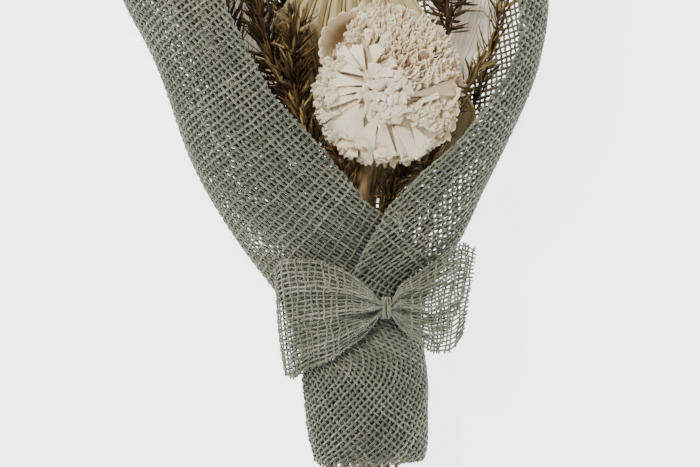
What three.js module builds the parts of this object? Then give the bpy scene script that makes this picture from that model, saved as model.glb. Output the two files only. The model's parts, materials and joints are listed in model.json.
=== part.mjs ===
// A gift bunch of dried flowers lying on its back: one big ruffled flower, three pleated palm
// spears and brown needle-leaved sprigs, wrapped in a cone of open mesh and closed with a mesh bow.
// Millimetres. The bunch lies on Z = 0 with its front facing up (+Z), its heads towards +Y and its
// cut stem ends towards -Y.
import * as THREE from "three";

// ---- driving dimensions (mm) ----
const SHEET = 1.6; // thickness of the mesh sheet with its woven threads
const FLAP_GAP = 0.7; // clear space between the two front flaps where they overlap
const FOOT_Y = -116.5; // lower edge of the wrap
const RIM_FRONT = 167; // upper edge of the wrap at the front folds
const RIM_RISE = 36; // how much higher the back of the rim is
const FLAT_SINK = 3; // how far the back of the wrap is flattened by lying down
const TIE_Y = -37; // height of the bow's waist
const HEAD = { x: 18.7, y: 71.8 }; // middle of the big flower
const HEAD_R = 37; // radius of the big flower
const STEM_END = -140; // longest cut stem end

// wrap outline: [y, left x, right x]
const OUTLINE = [
  [-122, -17.5, 34.5], [-118, -17.5, 35.5], [-110, -18.2, 38.8], [-100, -20.6, 39.6], [-90, -21.5, 39.7],
  [-75, -23.5, 40.1], [-60, -26.1, 38.4], [-45, -31.1, 36.2], [-30, -38.0, 40.0], [-20, -45.7, 45.5],
  [-10, -53.4, 51.8], [0, -60.3, 57.6], [10, -66.7, 62.6], [20, -72.4, 67.1], [30, -77.4, 72.0],
  [40, -81.8, 76.8], [50, -85.4, 81.4], [60, -88.8, 86.0], [70, -92.2, 90.2], [80, -95.9, 93.6],
  [90, -100.2, 96.0], [100, -105.2, 97.8], [110, -110.6, 99.0], [118, -114.2, 99.4], [140, -124.0, 99.8],
  [170, -135.0, 99.0], [210, -146.0, 97.0],
];
// depth of the wrap, back to front: [y, depth]
const DEPTH = [[-145, 46], [-60, 46], [-37, 45], [0, 60], [50, 82], [90, 96], [117, 103], [165, 111], [215, 116]];
// angle of each front edge from the middle of the front, in degrees: [y, left edge, right edge].
// Negative: that flap runs past the middle, under (left) or over (right) the other one.
const EDGES = [
  [-122, -50, -78], [-75, -50, -75], [-60, -50, -55], [-37, -50, -13], [-21, -49, 3.2], [-10, -43, 8.8],
  [0, -28, 13.7], [8, -17.5, 17.6], [14, -9.5, 20.4], [20, -5.3, 25.3], [30, 1.7, 32], [40, 8.0, 40], [50, 14.1, 46.5],
  [60, 20.5, 50], [70, 26.1, 53.5], [80, 28.8, 58.2], [90, 30.7, 61], [100, 31.6, 60.8], [110, 32.5, 59.8],
  [118, 32.6, 59.5], [140, 34.5, 60], [170, 36.5, 61], [215, 37, 61],
];

const RAD = Math.PI / 180;

// smooth table look-up (cubic Hermite with finite-difference slopes)
function table(rows, y, col = 1) {
  const n = rows.length;
  if (y <= rows[0][0]) return rows[0][col];
  if (y >= rows[n - 1][0]) return rows[n - 1][col];
  let i = 0;
  while (rows[i + 1][0] < y) i++;
  const slope = (k) => {
    const a = Math.max(k - 1, 0), b = Math.min(k + 1, n - 1);
    return (rows[b][col] - rows[a][col]) / (rows[b][0] - rows[a][0]);
  };
  const h = rows[i + 1][0] - rows[i][0], s = (y - rows[i][0]) / h;
  const s2 = s * s, s3 = s2 * s;
  return (2 * s3 - 3 * s2 + 1) * rows[i][col] + (s3 - 2 * s2 + s) * h * slope(i)
    + (3 * s2 - 2 * s3) * rows[i + 1][col] + (s3 - s2) * h * slope(i + 1);
}
const clamp = (v, a, b) => Math.min(b, Math.max(a, v));
const smooth = (v) => { const t = clamp(v, 0, 1); return t * t * (3 - 2 * t); };

// ---- the wrap's surface ----
function section(y) {
  const l = table(OUTLINE, y, 1), r = table(OUTLINE, y, 2), d = table(DEPTH, y);
  return { xc: (l + r) / 2, w: (r - l) / 2, zc: (d - FLAT_SINK) / 2, b: (d + FLAT_SINK) / 2 };
}
// u runs 0..1 from the left front edge round the left side, the back and the right side to the
// right front edge; v runs 0..1 from the foot to the rim; off is the depth below the outer face.
function wrapPoint(u, v, off) {
  const foot = FOOT_Y + 1.6 * Math.sin(2 * Math.PI * 3 * u + 1);
  const rim = RIM_FRONT + RIM_RISE * Math.sin(Math.PI * u) + 2.5 * Math.sin(2 * Math.PI * 4 * u);
  const y = foot + v * (rim - foot);
  const s = section(y);
  const a = table(EDGES, y, 1), b = 360 - table(EDGES, y, 2);
  const deg = a + u * (b - a), t = deg * RAD;
  const n = new THREE.Vector2(-Math.sin(t) / s.w, Math.cos(t) / s.b).normalize();
  // the right flap is lifted clear of the left one
  const lift = (SHEET + FLAP_GAP) * smooth((deg - 268) / 34);
  const x = s.xc - s.w * Math.sin(t) + n.x * (lift - off);
  const z = s.zc + s.b * Math.cos(t) + n.y * (lift - off);
  return new THREE.Vector3(x, y, Math.max(z, off));
}
// height of the wrap's front face at (x, y), the lifted flap included
function frontZ(x, y) {
  const s = section(y), k = clamp((x - s.xc) / s.w, -0.999, 0.999);
  return s.zc + s.b * Math.sqrt(1 - k * k) + SHEET + FLAP_GAP;
}

// ---- geometry helpers ----
function solid(points, faces) {
  // faces all turn the same way; turn them outwards if the volume comes out negative
  let volume = 0;
  for (const [a, b, c] of faces) volume += points[a].dot(new THREE.Vector3().crossVectors(points[b], points[c]));
  if (volume < 0) faces = faces.map(([a, b, c]) => [a, c, b]);
  const g = new THREE.BufferGeometry();
  g.setAttribute("position", new THREE.Float32BufferAttribute(points.flatMap((p) => [p.x, p.y, p.z]), 3));
  g.setIndex(faces.flat());
  g.computeVertexNormals();
  return g;
}
// a thin closed shell between an upper and a lower sheet, each a grid of points fn(i/nu, j/nv)
function shell(upper, lower, nu, nv) {
  const pts = [], faces = [], W = nv + 1, N = (nu + 1) * W;
  for (const fn of [upper, lower])
    for (let i = 0; i <= nu; i++) for (let j = 0; j <= nv; j++) pts.push(fn(i / nu, j / nv));
  const quad = (a, b, c, d) => faces.push([a, b, c], [a, c, d]);
  for (let i = 0; i < nu; i++)
    for (let j = 0; j < nv; j++) {
      const a = i * W + j, b = a + W, c = b + 1, d = a + 1;
      quad(a, b, c, d);
      quad(N + a, N + d, N + c, N + b);
    }
  for (let i = 0; i < nu; i++) {
    const a = i * W, b = a + W;
    quad(N + a, N + b, b, a);
    quad(a + nv, b + nv, N + b + nv, N + a + nv);
  }
  for (let j = 0; j < nv; j++) {
    const a = j, b = j + 1, e = nu * W + j;
    quad(N + b, N + a, a, b);
    quad(e + 1, e, N + e, N + e + 1);
  }
  return solid(pts, faces);
}
// a closed solid through rings of points, capped at both ends
function loft(rings) {
  const pts = rings.flat(), faces = [], n = rings[0].length, m = rings.length;
  for (let i = 0; i < m - 1; i++)
    for (let j = 0; j < n; j++) {
      const a = i * n + j, b = i * n + ((j + 1) % n);
      faces.push([a, b, b + n], [a, b + n, a + n]);
    }
  const mid = (ring) => ring.reduce((s, p) => s.add(p), new THREE.Vector3()).divideScalar(n);
  pts.push(mid(rings[0]), mid(rings[m - 1]));
  const c0 = pts.length - 2, c1 = pts.length - 1;
  for (let j = 0; j < n; j++) {
    const k = (j + 1) % n;
    faces.push([c0, k, j], [c1, (m - 1) * n + j, (m - 1) * n + k]);
  }
  return solid(pts, faces);
}
// a stem: a round or flattened section along a smooth curve; radius(s) and flat(s) with s = 0..1
function stem(path, radius, steps = 14, sides = 6, flat = () => 1) {
  const curve = new THREE.CatmullRomCurve3(path.map((p) => new THREE.Vector3(...p)), false, "centripetal");
  const rings = [];
  for (let i = 0; i <= steps; i++) {
    const s = i / steps, p = curve.getPointAt(s), t = curve.getTangentAt(s);
    const side = new THREE.Vector3(0, 0, 1).cross(t).normalize().negate();
    const up = new THREE.Vector3().crossVectors(side, t).normalize();
    const r = radius(s), ring = [];
    for (let j = 0; j < sides; j++) {
      const a = (2 * Math.PI * (j + 0.5)) / sides;
      ring.push(p.clone().addScaledVector(side, r * Math.cos(a)).addScaledVector(up, r * flat(s) * Math.sin(a)));
    }
    rings.push(ring);
  }
  return loft(rings);
}

const bunch = new THREE.Group();
bunch.name = "dried_flower_bunch";
const hung = new THREE.Group(); // everything is laid out about the bunch's own axis
bunch.add(hung);
function piece(name, geometry, color, roughness = 0.85) {
  const mesh = new THREE.Mesh(geometry, new THREE.MeshStandardMaterial({ color, roughness, metalness: 0 }));
  mesh.name = name;
  hung.add(mesh);
  return mesh;
}
const MESH_GREEN = 0x83857a, TIE_GREEN = 0x8f9186, CREAM = 0xd8c6b3, CREAM_DARK = 0xc9b49d, OLIVE = 0xa59879,
  WHITE_LEAF = 0xd4c6b8, BROWN = 0x54402a, WOOD = 0x947e60, TWINE = 0x8b7553;

// ---- wrap ----
piece("mesh_wrap", shell((u, v) => wrapPoint(1 - u, v, 0), (u, v) => wrapPoint(1 - u, v, SHEET), 44, 22), MESH_GREEN, 0.95);

// ---- bow: one strip of the same mesh, gathered in the middle ----
// each station joins a point of the upper edge to one of the lower edge: [x top, y top, x bottom, y bottom, thickness]
const BOW = [
  [-36.6, -16.5, -31.5, -71.5, 3.5], [-35.2, -13.9, -28.6, -73.0, 6], [-27.9, -12.7, -24.9, -70.5, 8], [-19.4, -13.2, -16.9, -66.5, 9],
  [-10.5, -15.2, -8.5, -62.9, 9], [-2.5, -18.7, -0.6, -57.0, 8.5], [4.0, -23.2, 6.0, -52.0, 7.5], [10.4, -28.6, 11.2, -46.3, 6],
  [15.2, -33.8, 15.2, -40.6, 4.6], [20.6, -33.8, 20.6, -40.6, 4.6], [24.9, -26.2, 24.0, -46.0, 5.5], [29.4, -22.7, 29.9, -51.5, 6.5],
  [35.4, -18.7, 34.9, -55.5, 7], [41.3, -14.2, 40.8, -59.5, 7], [49.3, -8.7, 46.3, -60.0, 6.5], [56.3, -4.7, 51.3, -58.5, 5.5], [62.8, -7.5, 56.4, -51.0, 3.5],
];
const bowFloor = (x, y) => Math.max(frontZ(x, y) + 0.8, 41) + 0.9;
{
  const at = (i, t) => {
    const [xt, yt, xb, yb] = BOW[i];
    return [xb + (xt - xb) * t, yb + (yt - yb) * t];
  };
  const rings = BOW.map((row, i) => {
    const ring = [], n = 6, pinch = i === 8 || i === 9;
    for (let k = 0; k <= n; k++) {
      const t = k / n, [x, y] = at(i, t);
      const bulge = Math.sin(Math.PI * clamp(t, 0.04, 0.96));
      const z0 = pinch ? 50.2 : bowFloor(x, y);
      ring.push([x, y, z0, z0 + (pinch ? 3.8 : 1.4 + row[4] * bulge)]);
    }
    return [...ring.map((p) => new THREE.Vector3(p[0], p[1], p[2])), ...ring.reverse().map((p) => new THREE.Vector3(p[0], p[1], p[3]))];
  });
  piece("mesh_bow", loft(rings.reverse()), MESH_GREEN, 0.95);
}
// the strands of thread wound round the bow's middle: one closed band
{
  const outer = [], inner = [], n = 20, half = 1.9;
  const ring = (r, z) => Array.from({ length: n }, (_, k) => {
    const a = (2 * Math.PI * k) / n, p = 0.62;
    const c = Math.sign(Math.cos(a)) * Math.abs(Math.cos(a)) ** p, s = Math.sign(Math.sin(a)) * Math.abs(Math.sin(a)) ** p;
    return new THREE.Vector3(z, TIE_Y - 0.2 + (4.5 + r) * c, 52.1 + (2.7 + r) * s);
  });
  const loops = [ring(0, 17.9 - half), ring(1.4, 17.9 - half), ring(1.4, 17.9 + half), ring(0, 17.9 + half)];
  const pts = loops.flat(), faces = [];
  for (let i = 0; i < 4; i++) for (let j = 0; j < n; j++) {
    const a = i * n + j, b = i * n + ((j + 1) % n), c = ((i + 1) % 4) * n + ((j + 1) % n), d = ((i + 1) % 4) * n + j;
    faces.push([a, c, b], [a, d, c]);
  }
  piece("bow_tie", solid(pts, faces), TIE_GREEN, 0.9);
}
// the string that holds the stems together inside the wrap
{
  const n = 32, H = 3.2;
  const ring = (r, y) => Array.from({ length: n }, (_, k) => {
    const a = (2 * Math.PI * k) / n;
    return new THREE.Vector3(7.5 + (21.5 + r) * Math.cos(a), y, 21.2 + (15.2 + r) * Math.sin(a));
  });
  const loops = [ring(0, -50 - H), ring(1.4, -50 - H), ring(1.4, -50 + H), ring(0, -50 + H)];
  const pts = loops.flat(), faces = [];
  for (let i = 0; i < 4; i++) for (let j = 0; j < n; j++) {
    const a = i * n + j, b = i * n + ((j + 1) % n), c = ((i + 1) % 4) * n + ((j + 1) % n), d = ((i + 1) % 4) * n + j;
    faces.push([a, c, b], [a, d, c]);
  }
  piece("stem_binding", solid(pts, faces), TWINE, 0.9);
}

// ---- the big flower ----
piece("flower_stem", stem([[8.5, STEM_END, 26], [7.5, -100, 29], [6.2, -50, 31], [5.8, -10, 38], [6.2, 20, 46], [11, 46, 50.5], [16.0, 62, 53.2]],
  (s) => 3.9 - 0.7 * s, 18, 8), WOOD);
{
  const profile = [[0, 57.6], [8.6, 58.4], [9.0, 60.2], [5.2, 62], [5.0, 84], [4.2, 88], [2.4, 90.2], [0, 91]];
  const g = new THREE.LatheGeometry(profile.map(([r, z]) => new THREE.Vector2(r, z)), 14);
  g.rotateX(Math.PI / 2);
  g.translate(HEAD.x, HEAD.y, 0);
  piece("flower_core", g, CREAM_DARK);
}
// a petal: a curved wedge between two angles and two radii, its height a function of the radius
function petal(name, a0, a1, r0, r1, height, thick, color) {
  const up = (lift) => (u, v) => {
    const t = v, span = (a1 - a0) * RAD, a = a0 * RAD + span * u;
    const edge = r0 + (r1 * (1 - 0.07 * (2 * u - 1) ** 2) - r0) * t;
    const gap = 0.35 / Math.max(edge, 1), aa = clamp(a, a0 * RAD + gap, a1 * RAD - gap);
    return new THREE.Vector3(HEAD.x + edge * Math.cos(aa), HEAD.y + edge * Math.sin(aa), height(t, u) + lift);
  };
  piece(name, shell(up(thick), up(0), 5, 4), color);
}
const OUTER = 8, MIDDLE = 6, INNER = 5;
for (let i = 0; i < OUTER; i++)
  petal("outer_petal_" + (i + 1), 22.5 + (360 / OUTER) * i, 22.5 + (360 / OUTER) * (i + 1), 10.2, HEAD_R + (i === 2 ? 1.5 : 0),
    (t, u) => 61.5 + 4.5 * t * t + 1.2 * Math.sin(Math.PI * u), 2.2, CREAM);
for (let i = 0; i < MIDDLE; i++)
  petal("middle_petal_" + (i + 1), 10 + (360 / MIDDLE) * i, 10 + (360 / MIDDLE) * (i + 1), 6.6, 30,
    (t, u) => 69.8 + 5.2 * t * t + 1.2 * Math.sin(Math.PI * u), 2.4, CREAM);
for (let i = 0; i < INNER; i++)
  petal("inner_petal_" + (i + 1), 40 + (360 / INNER) * i, 40 + (360 / INNER) * (i + 1), 6.2, 21.5,
    (t, u) => 79 + 1.5 * t + 1.2 * Math.sin(Math.PI * u), 3.2, CREAM);

// ---- palm spears: a flat stalk and a pleated blade, one piece each ----
// axis: points from the cut end to the base of the blade; blade: kite outline from base to tip
function palm(name, stalk, blade, half, z, color, pleats, rStalk, flat = 0.55) {
  // the stalk's rings run on into the blade's rings, so the leaf is one closed body
  const curve = new THREE.CatmullRomCurve3(stalk.map((p) => new THREE.Vector3(...p)), false, "centripetal");
  const rings = [], n = 2 * pleats + 1;
  const row = (centre, lx, rx, dirx, diry, thick, wave, zf) => {
    const top = [], low = [];
    for (let k = 0; k < n; k++) {
      const f = k / (n - 1), q = -lx + (lx + rx) * f, zig = wave * (k % 2 ? 1 : -1);
      const x = centre.x + dirx * q, y = centre.y + diry * q, zz = centre.z + zig + (zf ? zf(f) : 0);
      top.push(new THREE.Vector3(x, y, zz + thick / 2));
      low.push(new THREE.Vector3(x, y, zz - thick / 2));
    }
    return [...low, ...top.reverse()];
  };
  const STEPS = 12;
  for (let i = 0; i <= STEPS; i++) {
    const p = curve.getPointAt(i / STEPS), t = curve.getTangentAt(i / STEPS), len = Math.hypot(t.x, t.y);
    rings.push(row(p, rStalk, rStalk, t.y / len, -t.x / len, 2 * rStalk * flat, 0));
  }
  for (const [x, y, zz, lx, rx] of blade) {
    const [dx, dy] = half, len = Math.hypot(dx, dy);
    rings.push(row(new THREE.Vector3(x, y, zz), lx, rx, dx / len, dy / len, 1.4, z * Math.min(1, (lx + rx) / 30), (f) => -2.5 * (2 * f - 1) ** 2 * Math.min(1, (lx + rx) / 60)));
  }
  piece(name, loft(rings.map((r) => r.reverse())), color);
}
// the olive spear behind the flower
palm("palm_spear", [[13, -130, 17], [12, -95, 19], [11, -50, 20.5], [10, -20, 29], [9.6, 8, 37]],
  [[9.4, 24, 40.5, 8, 12], [9.0, 42, 43, 21, 36], [8.2, 60, 45, 33, 55], [7.6, 67, 45.8, 38, 54], [6.8, 75, 46.5, 41, 48], [6.0, 84, 47.5, 42, 45],
    [4.4, 103, 49.5, 43, 39], [3.2, 116, 51.5, 34, 31], [1.8, 132, 53.5, 21, 21], [0.6, 146, 55.5, 10.5, 10.5], [0, 157, 57, 2, 2]],
  [1, -0.04], 1.0, OLIVE, 6, 3.0);
// the bleached spears behind it, left and right
palm("white_palm_left", [[-11, -127, 12.4], [-6, -95, 11.8], [0, -50, 12], [-10, -15, 15], [-28, 20, 18]],
  [[-38, 40, 19.5, 7, 7], [-52, 70, 22, 14, 14], [-64, 98, 27, 16, 20], [-72, 122, 30.5, 20, 26], [-79, 146, 34, 20, 25], [-86, 174, 39, 19, 18], [-94, 206, 46, 10, 10], [-100, 234, 52, 1.5, 1.5]],
  [0.93, 0.3], 0.9, WHITE_LEAF, 5, 2.5);
palm("white_palm_right", [[19, -128, 12], [16, -95, 11.5], [13, -50, 12], [19, -15, 15], [30, 20, 18]],
  [[37, 44, 19.5, 6, 6], [45, 72, 21.5, 10, 10], [52, 92, 23.5, 12, 14], [57, 112, 26, 17, 19], [61, 134, 29, 23, 22], [66, 160, 34, 20, 19], [72, 194, 40, 11, 10], [77, 226, 46, 1.5, 1.5]],
  [0.97, -0.2], 0.9, WHITE_LEAF, 5, 2.5);

// ---- brown needle-leaved sprigs: a thin stalk, swelling into the outer shape of its needles ----
function sprig(name, path, girth, start, rStalk = 1.25) {
  piece(name, stem(path, (s) => {
    const t = clamp((s - start) / (1 - start), 0, 1);
    return t <= 0 ? rStalk : Math.max(0.7, rStalk + (girth - rStalk) * Math.sin(Math.PI * Math.min(1, t * 0.93 + 0.04)) ** 0.7);
  }, 20, 6, (s) => (s > start ? 1 - 0.42 * smooth((s - start) * 6) : 1)), BROWN);
}
sprig("sprig_left_long", [[-8, -124, 29], [-6.5, -85, 28.5], [-5.5, -50, 28], [-13, -10, 38], [-21, 35, 47], [-33, 72, 54.5], [-43, 100, 60], [-50, 126, 66], [-57, 160, 75], [-62, 196, 82]], 8.2, 0.48);
sprig("sprig_left_inner", [[-3.5, -126, 22.5], [-3, -85, 22.5], [-2, -50, 22], [-8, -8, 37], [-16, 30, 55], [-25.8, 62, 61], [-28, 88, 65], [-26, 106, 69]], 6.6, 0.52);
sprig("sprig_left_low", [[-11.5, -119, 22], [-11, -85, 21.5], [-9.5, -50, 21], [-21, -8, 30], [-36, 36, 41], [-51, 70, 50], [-61, 100, 56], [-68, 128, 60], [-75, 168, 66]], 7.6, 0.5);
sprig("sprig_left_back", [[-8.5, -122, 15.5], [-8, -85, 15.5], [-7.5, -50, 15.6], [-24, -10, 22.8], [-46, 34, 32], [-67, 74, 42], [-80, 108, 49], [-92, 150, 57], [-101, 186, 63], [-106, 212, 67]], 7.2, 0.5);
sprig("sprig_right_long", [[23.5, -121, 18], [23, -85, 18], [22, -50, 17.5], [33, -12, 22.5], [49, 30, 28.5], [62, 64, 34.5], [71, 92, 42.5], [76, 118, 49], [80, 160, 57], [81, 190, 63]], 7.4, 0.5);
sprig("sprig_right_low", [[17.5, -124, 25], [17.5, -85, 25.5], [18.5, -50, 25.5], [25, -12, 33], [36, 18, 42], [48, 42, 48], [58, 60, 51], [66, 78, 55]], 5.2, 0.56);
sprig("sprig_top_right", [[19, -119, 19.6], [19, -85, 19.6], [17.6, -50, 18.9], [25, -12, 24], [36, 30, 29.5], [45, 74, 34], [49, 100, 37.5], [48, 128, 42], [44, 172, 51], [40, 208, 60]], 6.8, 0.58);
sprig("sprig_under_flower", [[14.5, -123, 31.5], [14, -85, 32], [13.5, -50, 31.3], [15.5, -10, 42], [18.5, 14, 50], [24, 28, 53], [32, 37, 54.5]], 3.6, 0.66, 1.1);
sprig("sprig_by_stem", [[-1.5, -121, 33], [-1.5, -85, 33], [-0.8, -50, 32], [-1.5, -10, 44], [-2.5, 14, 50], [-3.5, 30, 52.5], [-6, 44, 53.5]], 3.2, 0.64, 1.1);
sprig("sprig_back_middle", [[6.8, -121, 9.5], [6.6, -85, 9.3], [6.6, -50, 9.6], [3, -10, 16], [-4, 40, 22], [-14, 90, 28], [-22, 130, 36], [-29, 190, 50], [-32, 228, 60]], 6.6, 0.52);

// the frame's origin is under the middle of the bunch's outer box
const box = new THREE.Box3().setFromObject(hung);
hung.position.set(-(box.min.x + box.max.x) / 2, -(box.min.y + box.max.y) / 2, -box.min.z);

export default bunch;
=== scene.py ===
# The looks of a gift bunch of dried flowers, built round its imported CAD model.
# Lengths below are millimetres in the bunch's own layout; place() turns them into the row frame's metres.
import sys
import bpy, json, math
import numpy as np
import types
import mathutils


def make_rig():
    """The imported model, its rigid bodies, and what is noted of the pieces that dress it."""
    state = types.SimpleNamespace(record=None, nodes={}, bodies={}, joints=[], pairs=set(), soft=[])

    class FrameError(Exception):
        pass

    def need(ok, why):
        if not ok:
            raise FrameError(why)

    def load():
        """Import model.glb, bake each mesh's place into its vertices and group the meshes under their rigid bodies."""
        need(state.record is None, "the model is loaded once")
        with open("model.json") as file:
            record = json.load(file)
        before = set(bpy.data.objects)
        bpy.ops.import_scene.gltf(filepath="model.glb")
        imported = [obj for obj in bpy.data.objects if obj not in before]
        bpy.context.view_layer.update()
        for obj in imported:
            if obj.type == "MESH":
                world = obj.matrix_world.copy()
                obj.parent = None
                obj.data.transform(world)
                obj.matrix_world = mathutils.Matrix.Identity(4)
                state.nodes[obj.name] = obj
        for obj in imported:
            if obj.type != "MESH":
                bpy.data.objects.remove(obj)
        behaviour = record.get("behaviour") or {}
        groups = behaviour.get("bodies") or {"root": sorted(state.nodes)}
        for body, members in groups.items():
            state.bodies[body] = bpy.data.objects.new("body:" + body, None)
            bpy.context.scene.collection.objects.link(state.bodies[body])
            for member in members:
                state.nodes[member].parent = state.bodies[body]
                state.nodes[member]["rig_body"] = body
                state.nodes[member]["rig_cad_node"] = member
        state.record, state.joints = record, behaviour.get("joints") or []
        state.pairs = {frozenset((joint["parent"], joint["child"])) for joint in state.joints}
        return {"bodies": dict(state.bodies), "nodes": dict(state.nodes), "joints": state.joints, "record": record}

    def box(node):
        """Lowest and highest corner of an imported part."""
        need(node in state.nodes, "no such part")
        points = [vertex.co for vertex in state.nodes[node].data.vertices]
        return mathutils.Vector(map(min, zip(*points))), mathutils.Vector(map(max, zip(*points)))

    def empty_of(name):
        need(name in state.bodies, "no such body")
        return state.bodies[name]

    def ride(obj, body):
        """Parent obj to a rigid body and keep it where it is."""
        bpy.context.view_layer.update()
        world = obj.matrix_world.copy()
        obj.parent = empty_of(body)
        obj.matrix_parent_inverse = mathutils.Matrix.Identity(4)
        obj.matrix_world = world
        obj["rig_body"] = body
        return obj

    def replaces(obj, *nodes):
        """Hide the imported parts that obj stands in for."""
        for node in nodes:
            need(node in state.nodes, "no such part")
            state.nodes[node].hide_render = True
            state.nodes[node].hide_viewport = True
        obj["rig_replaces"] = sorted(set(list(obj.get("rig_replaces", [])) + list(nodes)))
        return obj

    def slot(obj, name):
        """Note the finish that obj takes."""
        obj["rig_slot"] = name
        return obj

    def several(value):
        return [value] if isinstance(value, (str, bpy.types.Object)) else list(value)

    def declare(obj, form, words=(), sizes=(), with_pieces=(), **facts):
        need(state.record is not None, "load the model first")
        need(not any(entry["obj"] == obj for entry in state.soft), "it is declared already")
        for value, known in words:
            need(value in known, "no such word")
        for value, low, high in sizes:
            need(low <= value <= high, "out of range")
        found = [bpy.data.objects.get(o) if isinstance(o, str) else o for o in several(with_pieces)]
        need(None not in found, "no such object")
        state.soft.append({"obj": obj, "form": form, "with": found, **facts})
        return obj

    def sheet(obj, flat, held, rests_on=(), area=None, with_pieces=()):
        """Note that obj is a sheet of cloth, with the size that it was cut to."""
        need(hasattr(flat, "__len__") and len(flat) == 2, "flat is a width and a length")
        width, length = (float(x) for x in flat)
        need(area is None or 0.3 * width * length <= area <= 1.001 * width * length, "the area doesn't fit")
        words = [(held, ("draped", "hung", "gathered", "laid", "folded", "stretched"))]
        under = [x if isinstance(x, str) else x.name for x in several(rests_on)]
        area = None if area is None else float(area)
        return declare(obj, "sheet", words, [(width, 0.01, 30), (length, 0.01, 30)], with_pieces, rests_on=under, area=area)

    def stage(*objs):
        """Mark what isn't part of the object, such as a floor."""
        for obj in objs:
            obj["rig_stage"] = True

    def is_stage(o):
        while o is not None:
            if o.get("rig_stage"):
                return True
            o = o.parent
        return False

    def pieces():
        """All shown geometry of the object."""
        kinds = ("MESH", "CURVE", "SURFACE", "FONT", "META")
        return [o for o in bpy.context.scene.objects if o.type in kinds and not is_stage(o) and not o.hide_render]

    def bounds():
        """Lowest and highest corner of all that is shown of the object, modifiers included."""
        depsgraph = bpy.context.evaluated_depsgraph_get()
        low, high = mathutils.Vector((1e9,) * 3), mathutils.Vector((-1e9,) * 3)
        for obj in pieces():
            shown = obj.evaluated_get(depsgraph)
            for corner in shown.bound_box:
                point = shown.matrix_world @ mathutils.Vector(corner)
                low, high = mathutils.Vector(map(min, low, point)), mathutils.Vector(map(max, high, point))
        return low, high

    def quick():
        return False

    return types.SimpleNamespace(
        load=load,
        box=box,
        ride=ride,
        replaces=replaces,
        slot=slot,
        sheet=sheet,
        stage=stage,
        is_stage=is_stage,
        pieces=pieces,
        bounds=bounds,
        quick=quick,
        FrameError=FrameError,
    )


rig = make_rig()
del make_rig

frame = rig.load()
cad_lo, cad_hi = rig.bounds()
lo_, hi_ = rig.box("flower_core")
HEAD = np.array([18.7, 71.8])
SX = (lo_.x + hi_.x) * 500 - HEAD[0]
SY = (lo_.y + hi_.y) * 500 - HEAD[1]
SHIFT = np.array([SX, SY, 0.0])
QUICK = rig.quick()
rng = np.random.default_rng(20)


def place(p):
    return (np.asarray(p, float) + SHIFT) / 1000.0


# ------------------------------------------------------------------ tables shared with the CAD wrap
SHEET, FLAP_GAP, FOOT_Y, RIM_FRONT, RIM_RISE, FLAT_SINK, TIE_Y = 1.6, 0.7, -116.5, 167.0, 36.0, 3.0, -37.0
OUTLINE = np.array([
    [-122, -17.5, 34.5], [-118, -17.5, 35.5], [-110, -18.2, 38.8], [-100, -20.6, 39.6], [-90, -21.5, 39.7],
    [-75, -23.5, 40.1], [-60, -26.1, 38.4], [-45, -31.1, 36.2], [-30, -38.0, 40.0], [-20, -45.7, 45.5],
    [-10, -53.4, 51.8], [0, -60.3, 57.6], [10, -66.7, 62.6], [20, -72.4, 67.1], [30, -77.4, 72.0],
    [40, -81.8, 76.8], [50, -85.4, 81.4], [60, -88.8, 86.0], [70, -92.2, 90.2], [80, -95.9, 93.6],
    [90, -100.2, 96.0], [100, -105.2, 97.8], [110, -110.6, 99.0], [118, -114.2, 99.4], [140, -124.0, 99.8],
    [170, -135.0, 99.0], [210, -146.0, 97.0]], float)
DEPTH = np.array([[-145, 46], [-60, 46], [-37, 45], [0, 60], [50, 82], [90, 96], [117, 103], [165, 111], [215, 116]], float)
EDGES = np.array([
    [-122, -50, -78], [-75, -50, -75], [-60, -50, -55], [-37, -50, -13], [-21, -49, 3.2], [-10, -43, 8.8],
    [0, -28, 13.7], [8, -17.5, 17.6], [14, -9.5, 20.4], [20, -5.3, 25.3], [30, 1.7, 32], [40, 8.0, 40], [50, 14.1, 46.5],
    [60, 20.5, 50], [70, 26.1, 53.5], [80, 28.8, 58.2], [90, 30.7, 61], [100, 31.6, 60.8], [110, 32.5, 59.8],
    [118, 32.6, 59.5], [140, 34.5, 60], [170, 36.5, 61], [215, 37, 61]], float)


def table(rows, y, col=1):
    y = np.clip(np.asarray(y, float), rows[0, 0], rows[-1, 0])
    n = len(rows)
    i = np.clip(np.searchsorted(rows[:, 0], y, side="left") - 1, 0, n - 2)
    k = np.arange(n)
    a, b = np.maximum(k - 1, 0), np.minimum(k + 1, n - 1)
    slope = (rows[b, col] - rows[a, col]) / (rows[b, 0] - rows[a, 0])
    h = rows[i + 1, 0] - rows[i, 0]
    s = (y - rows[i, 0]) / h
    s2, s3 = s * s, s * s * s
    return ((2 * s3 - 3 * s2 + 1) * rows[i, col] + (s3 - 2 * s2 + s) * h * slope[i]
            + (3 * s2 - 2 * s3) * rows[i + 1, col] + (s3 - s2) * h * slope[i + 1])


def smooth(v):
    t = np.clip(v, 0, 1)
    return t * t * (3 - 2 * t)


def section(y):
    l, r, d = table(OUTLINE, y, 1), table(OUTLINE, y, 2), table(DEPTH, y)
    return (l + r) / 2, (r - l) / 2, (d - FLAT_SINK) / 2, (d + FLAT_SINK) / 2


def front_z(x, y):
    xc, w, zc, b = section(y)
    k = np.clip((x - xc) / w, -0.999, 0.999)
    return zc + b * np.sqrt(1 - k * k) + SHEET + FLAP_GAP


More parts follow.
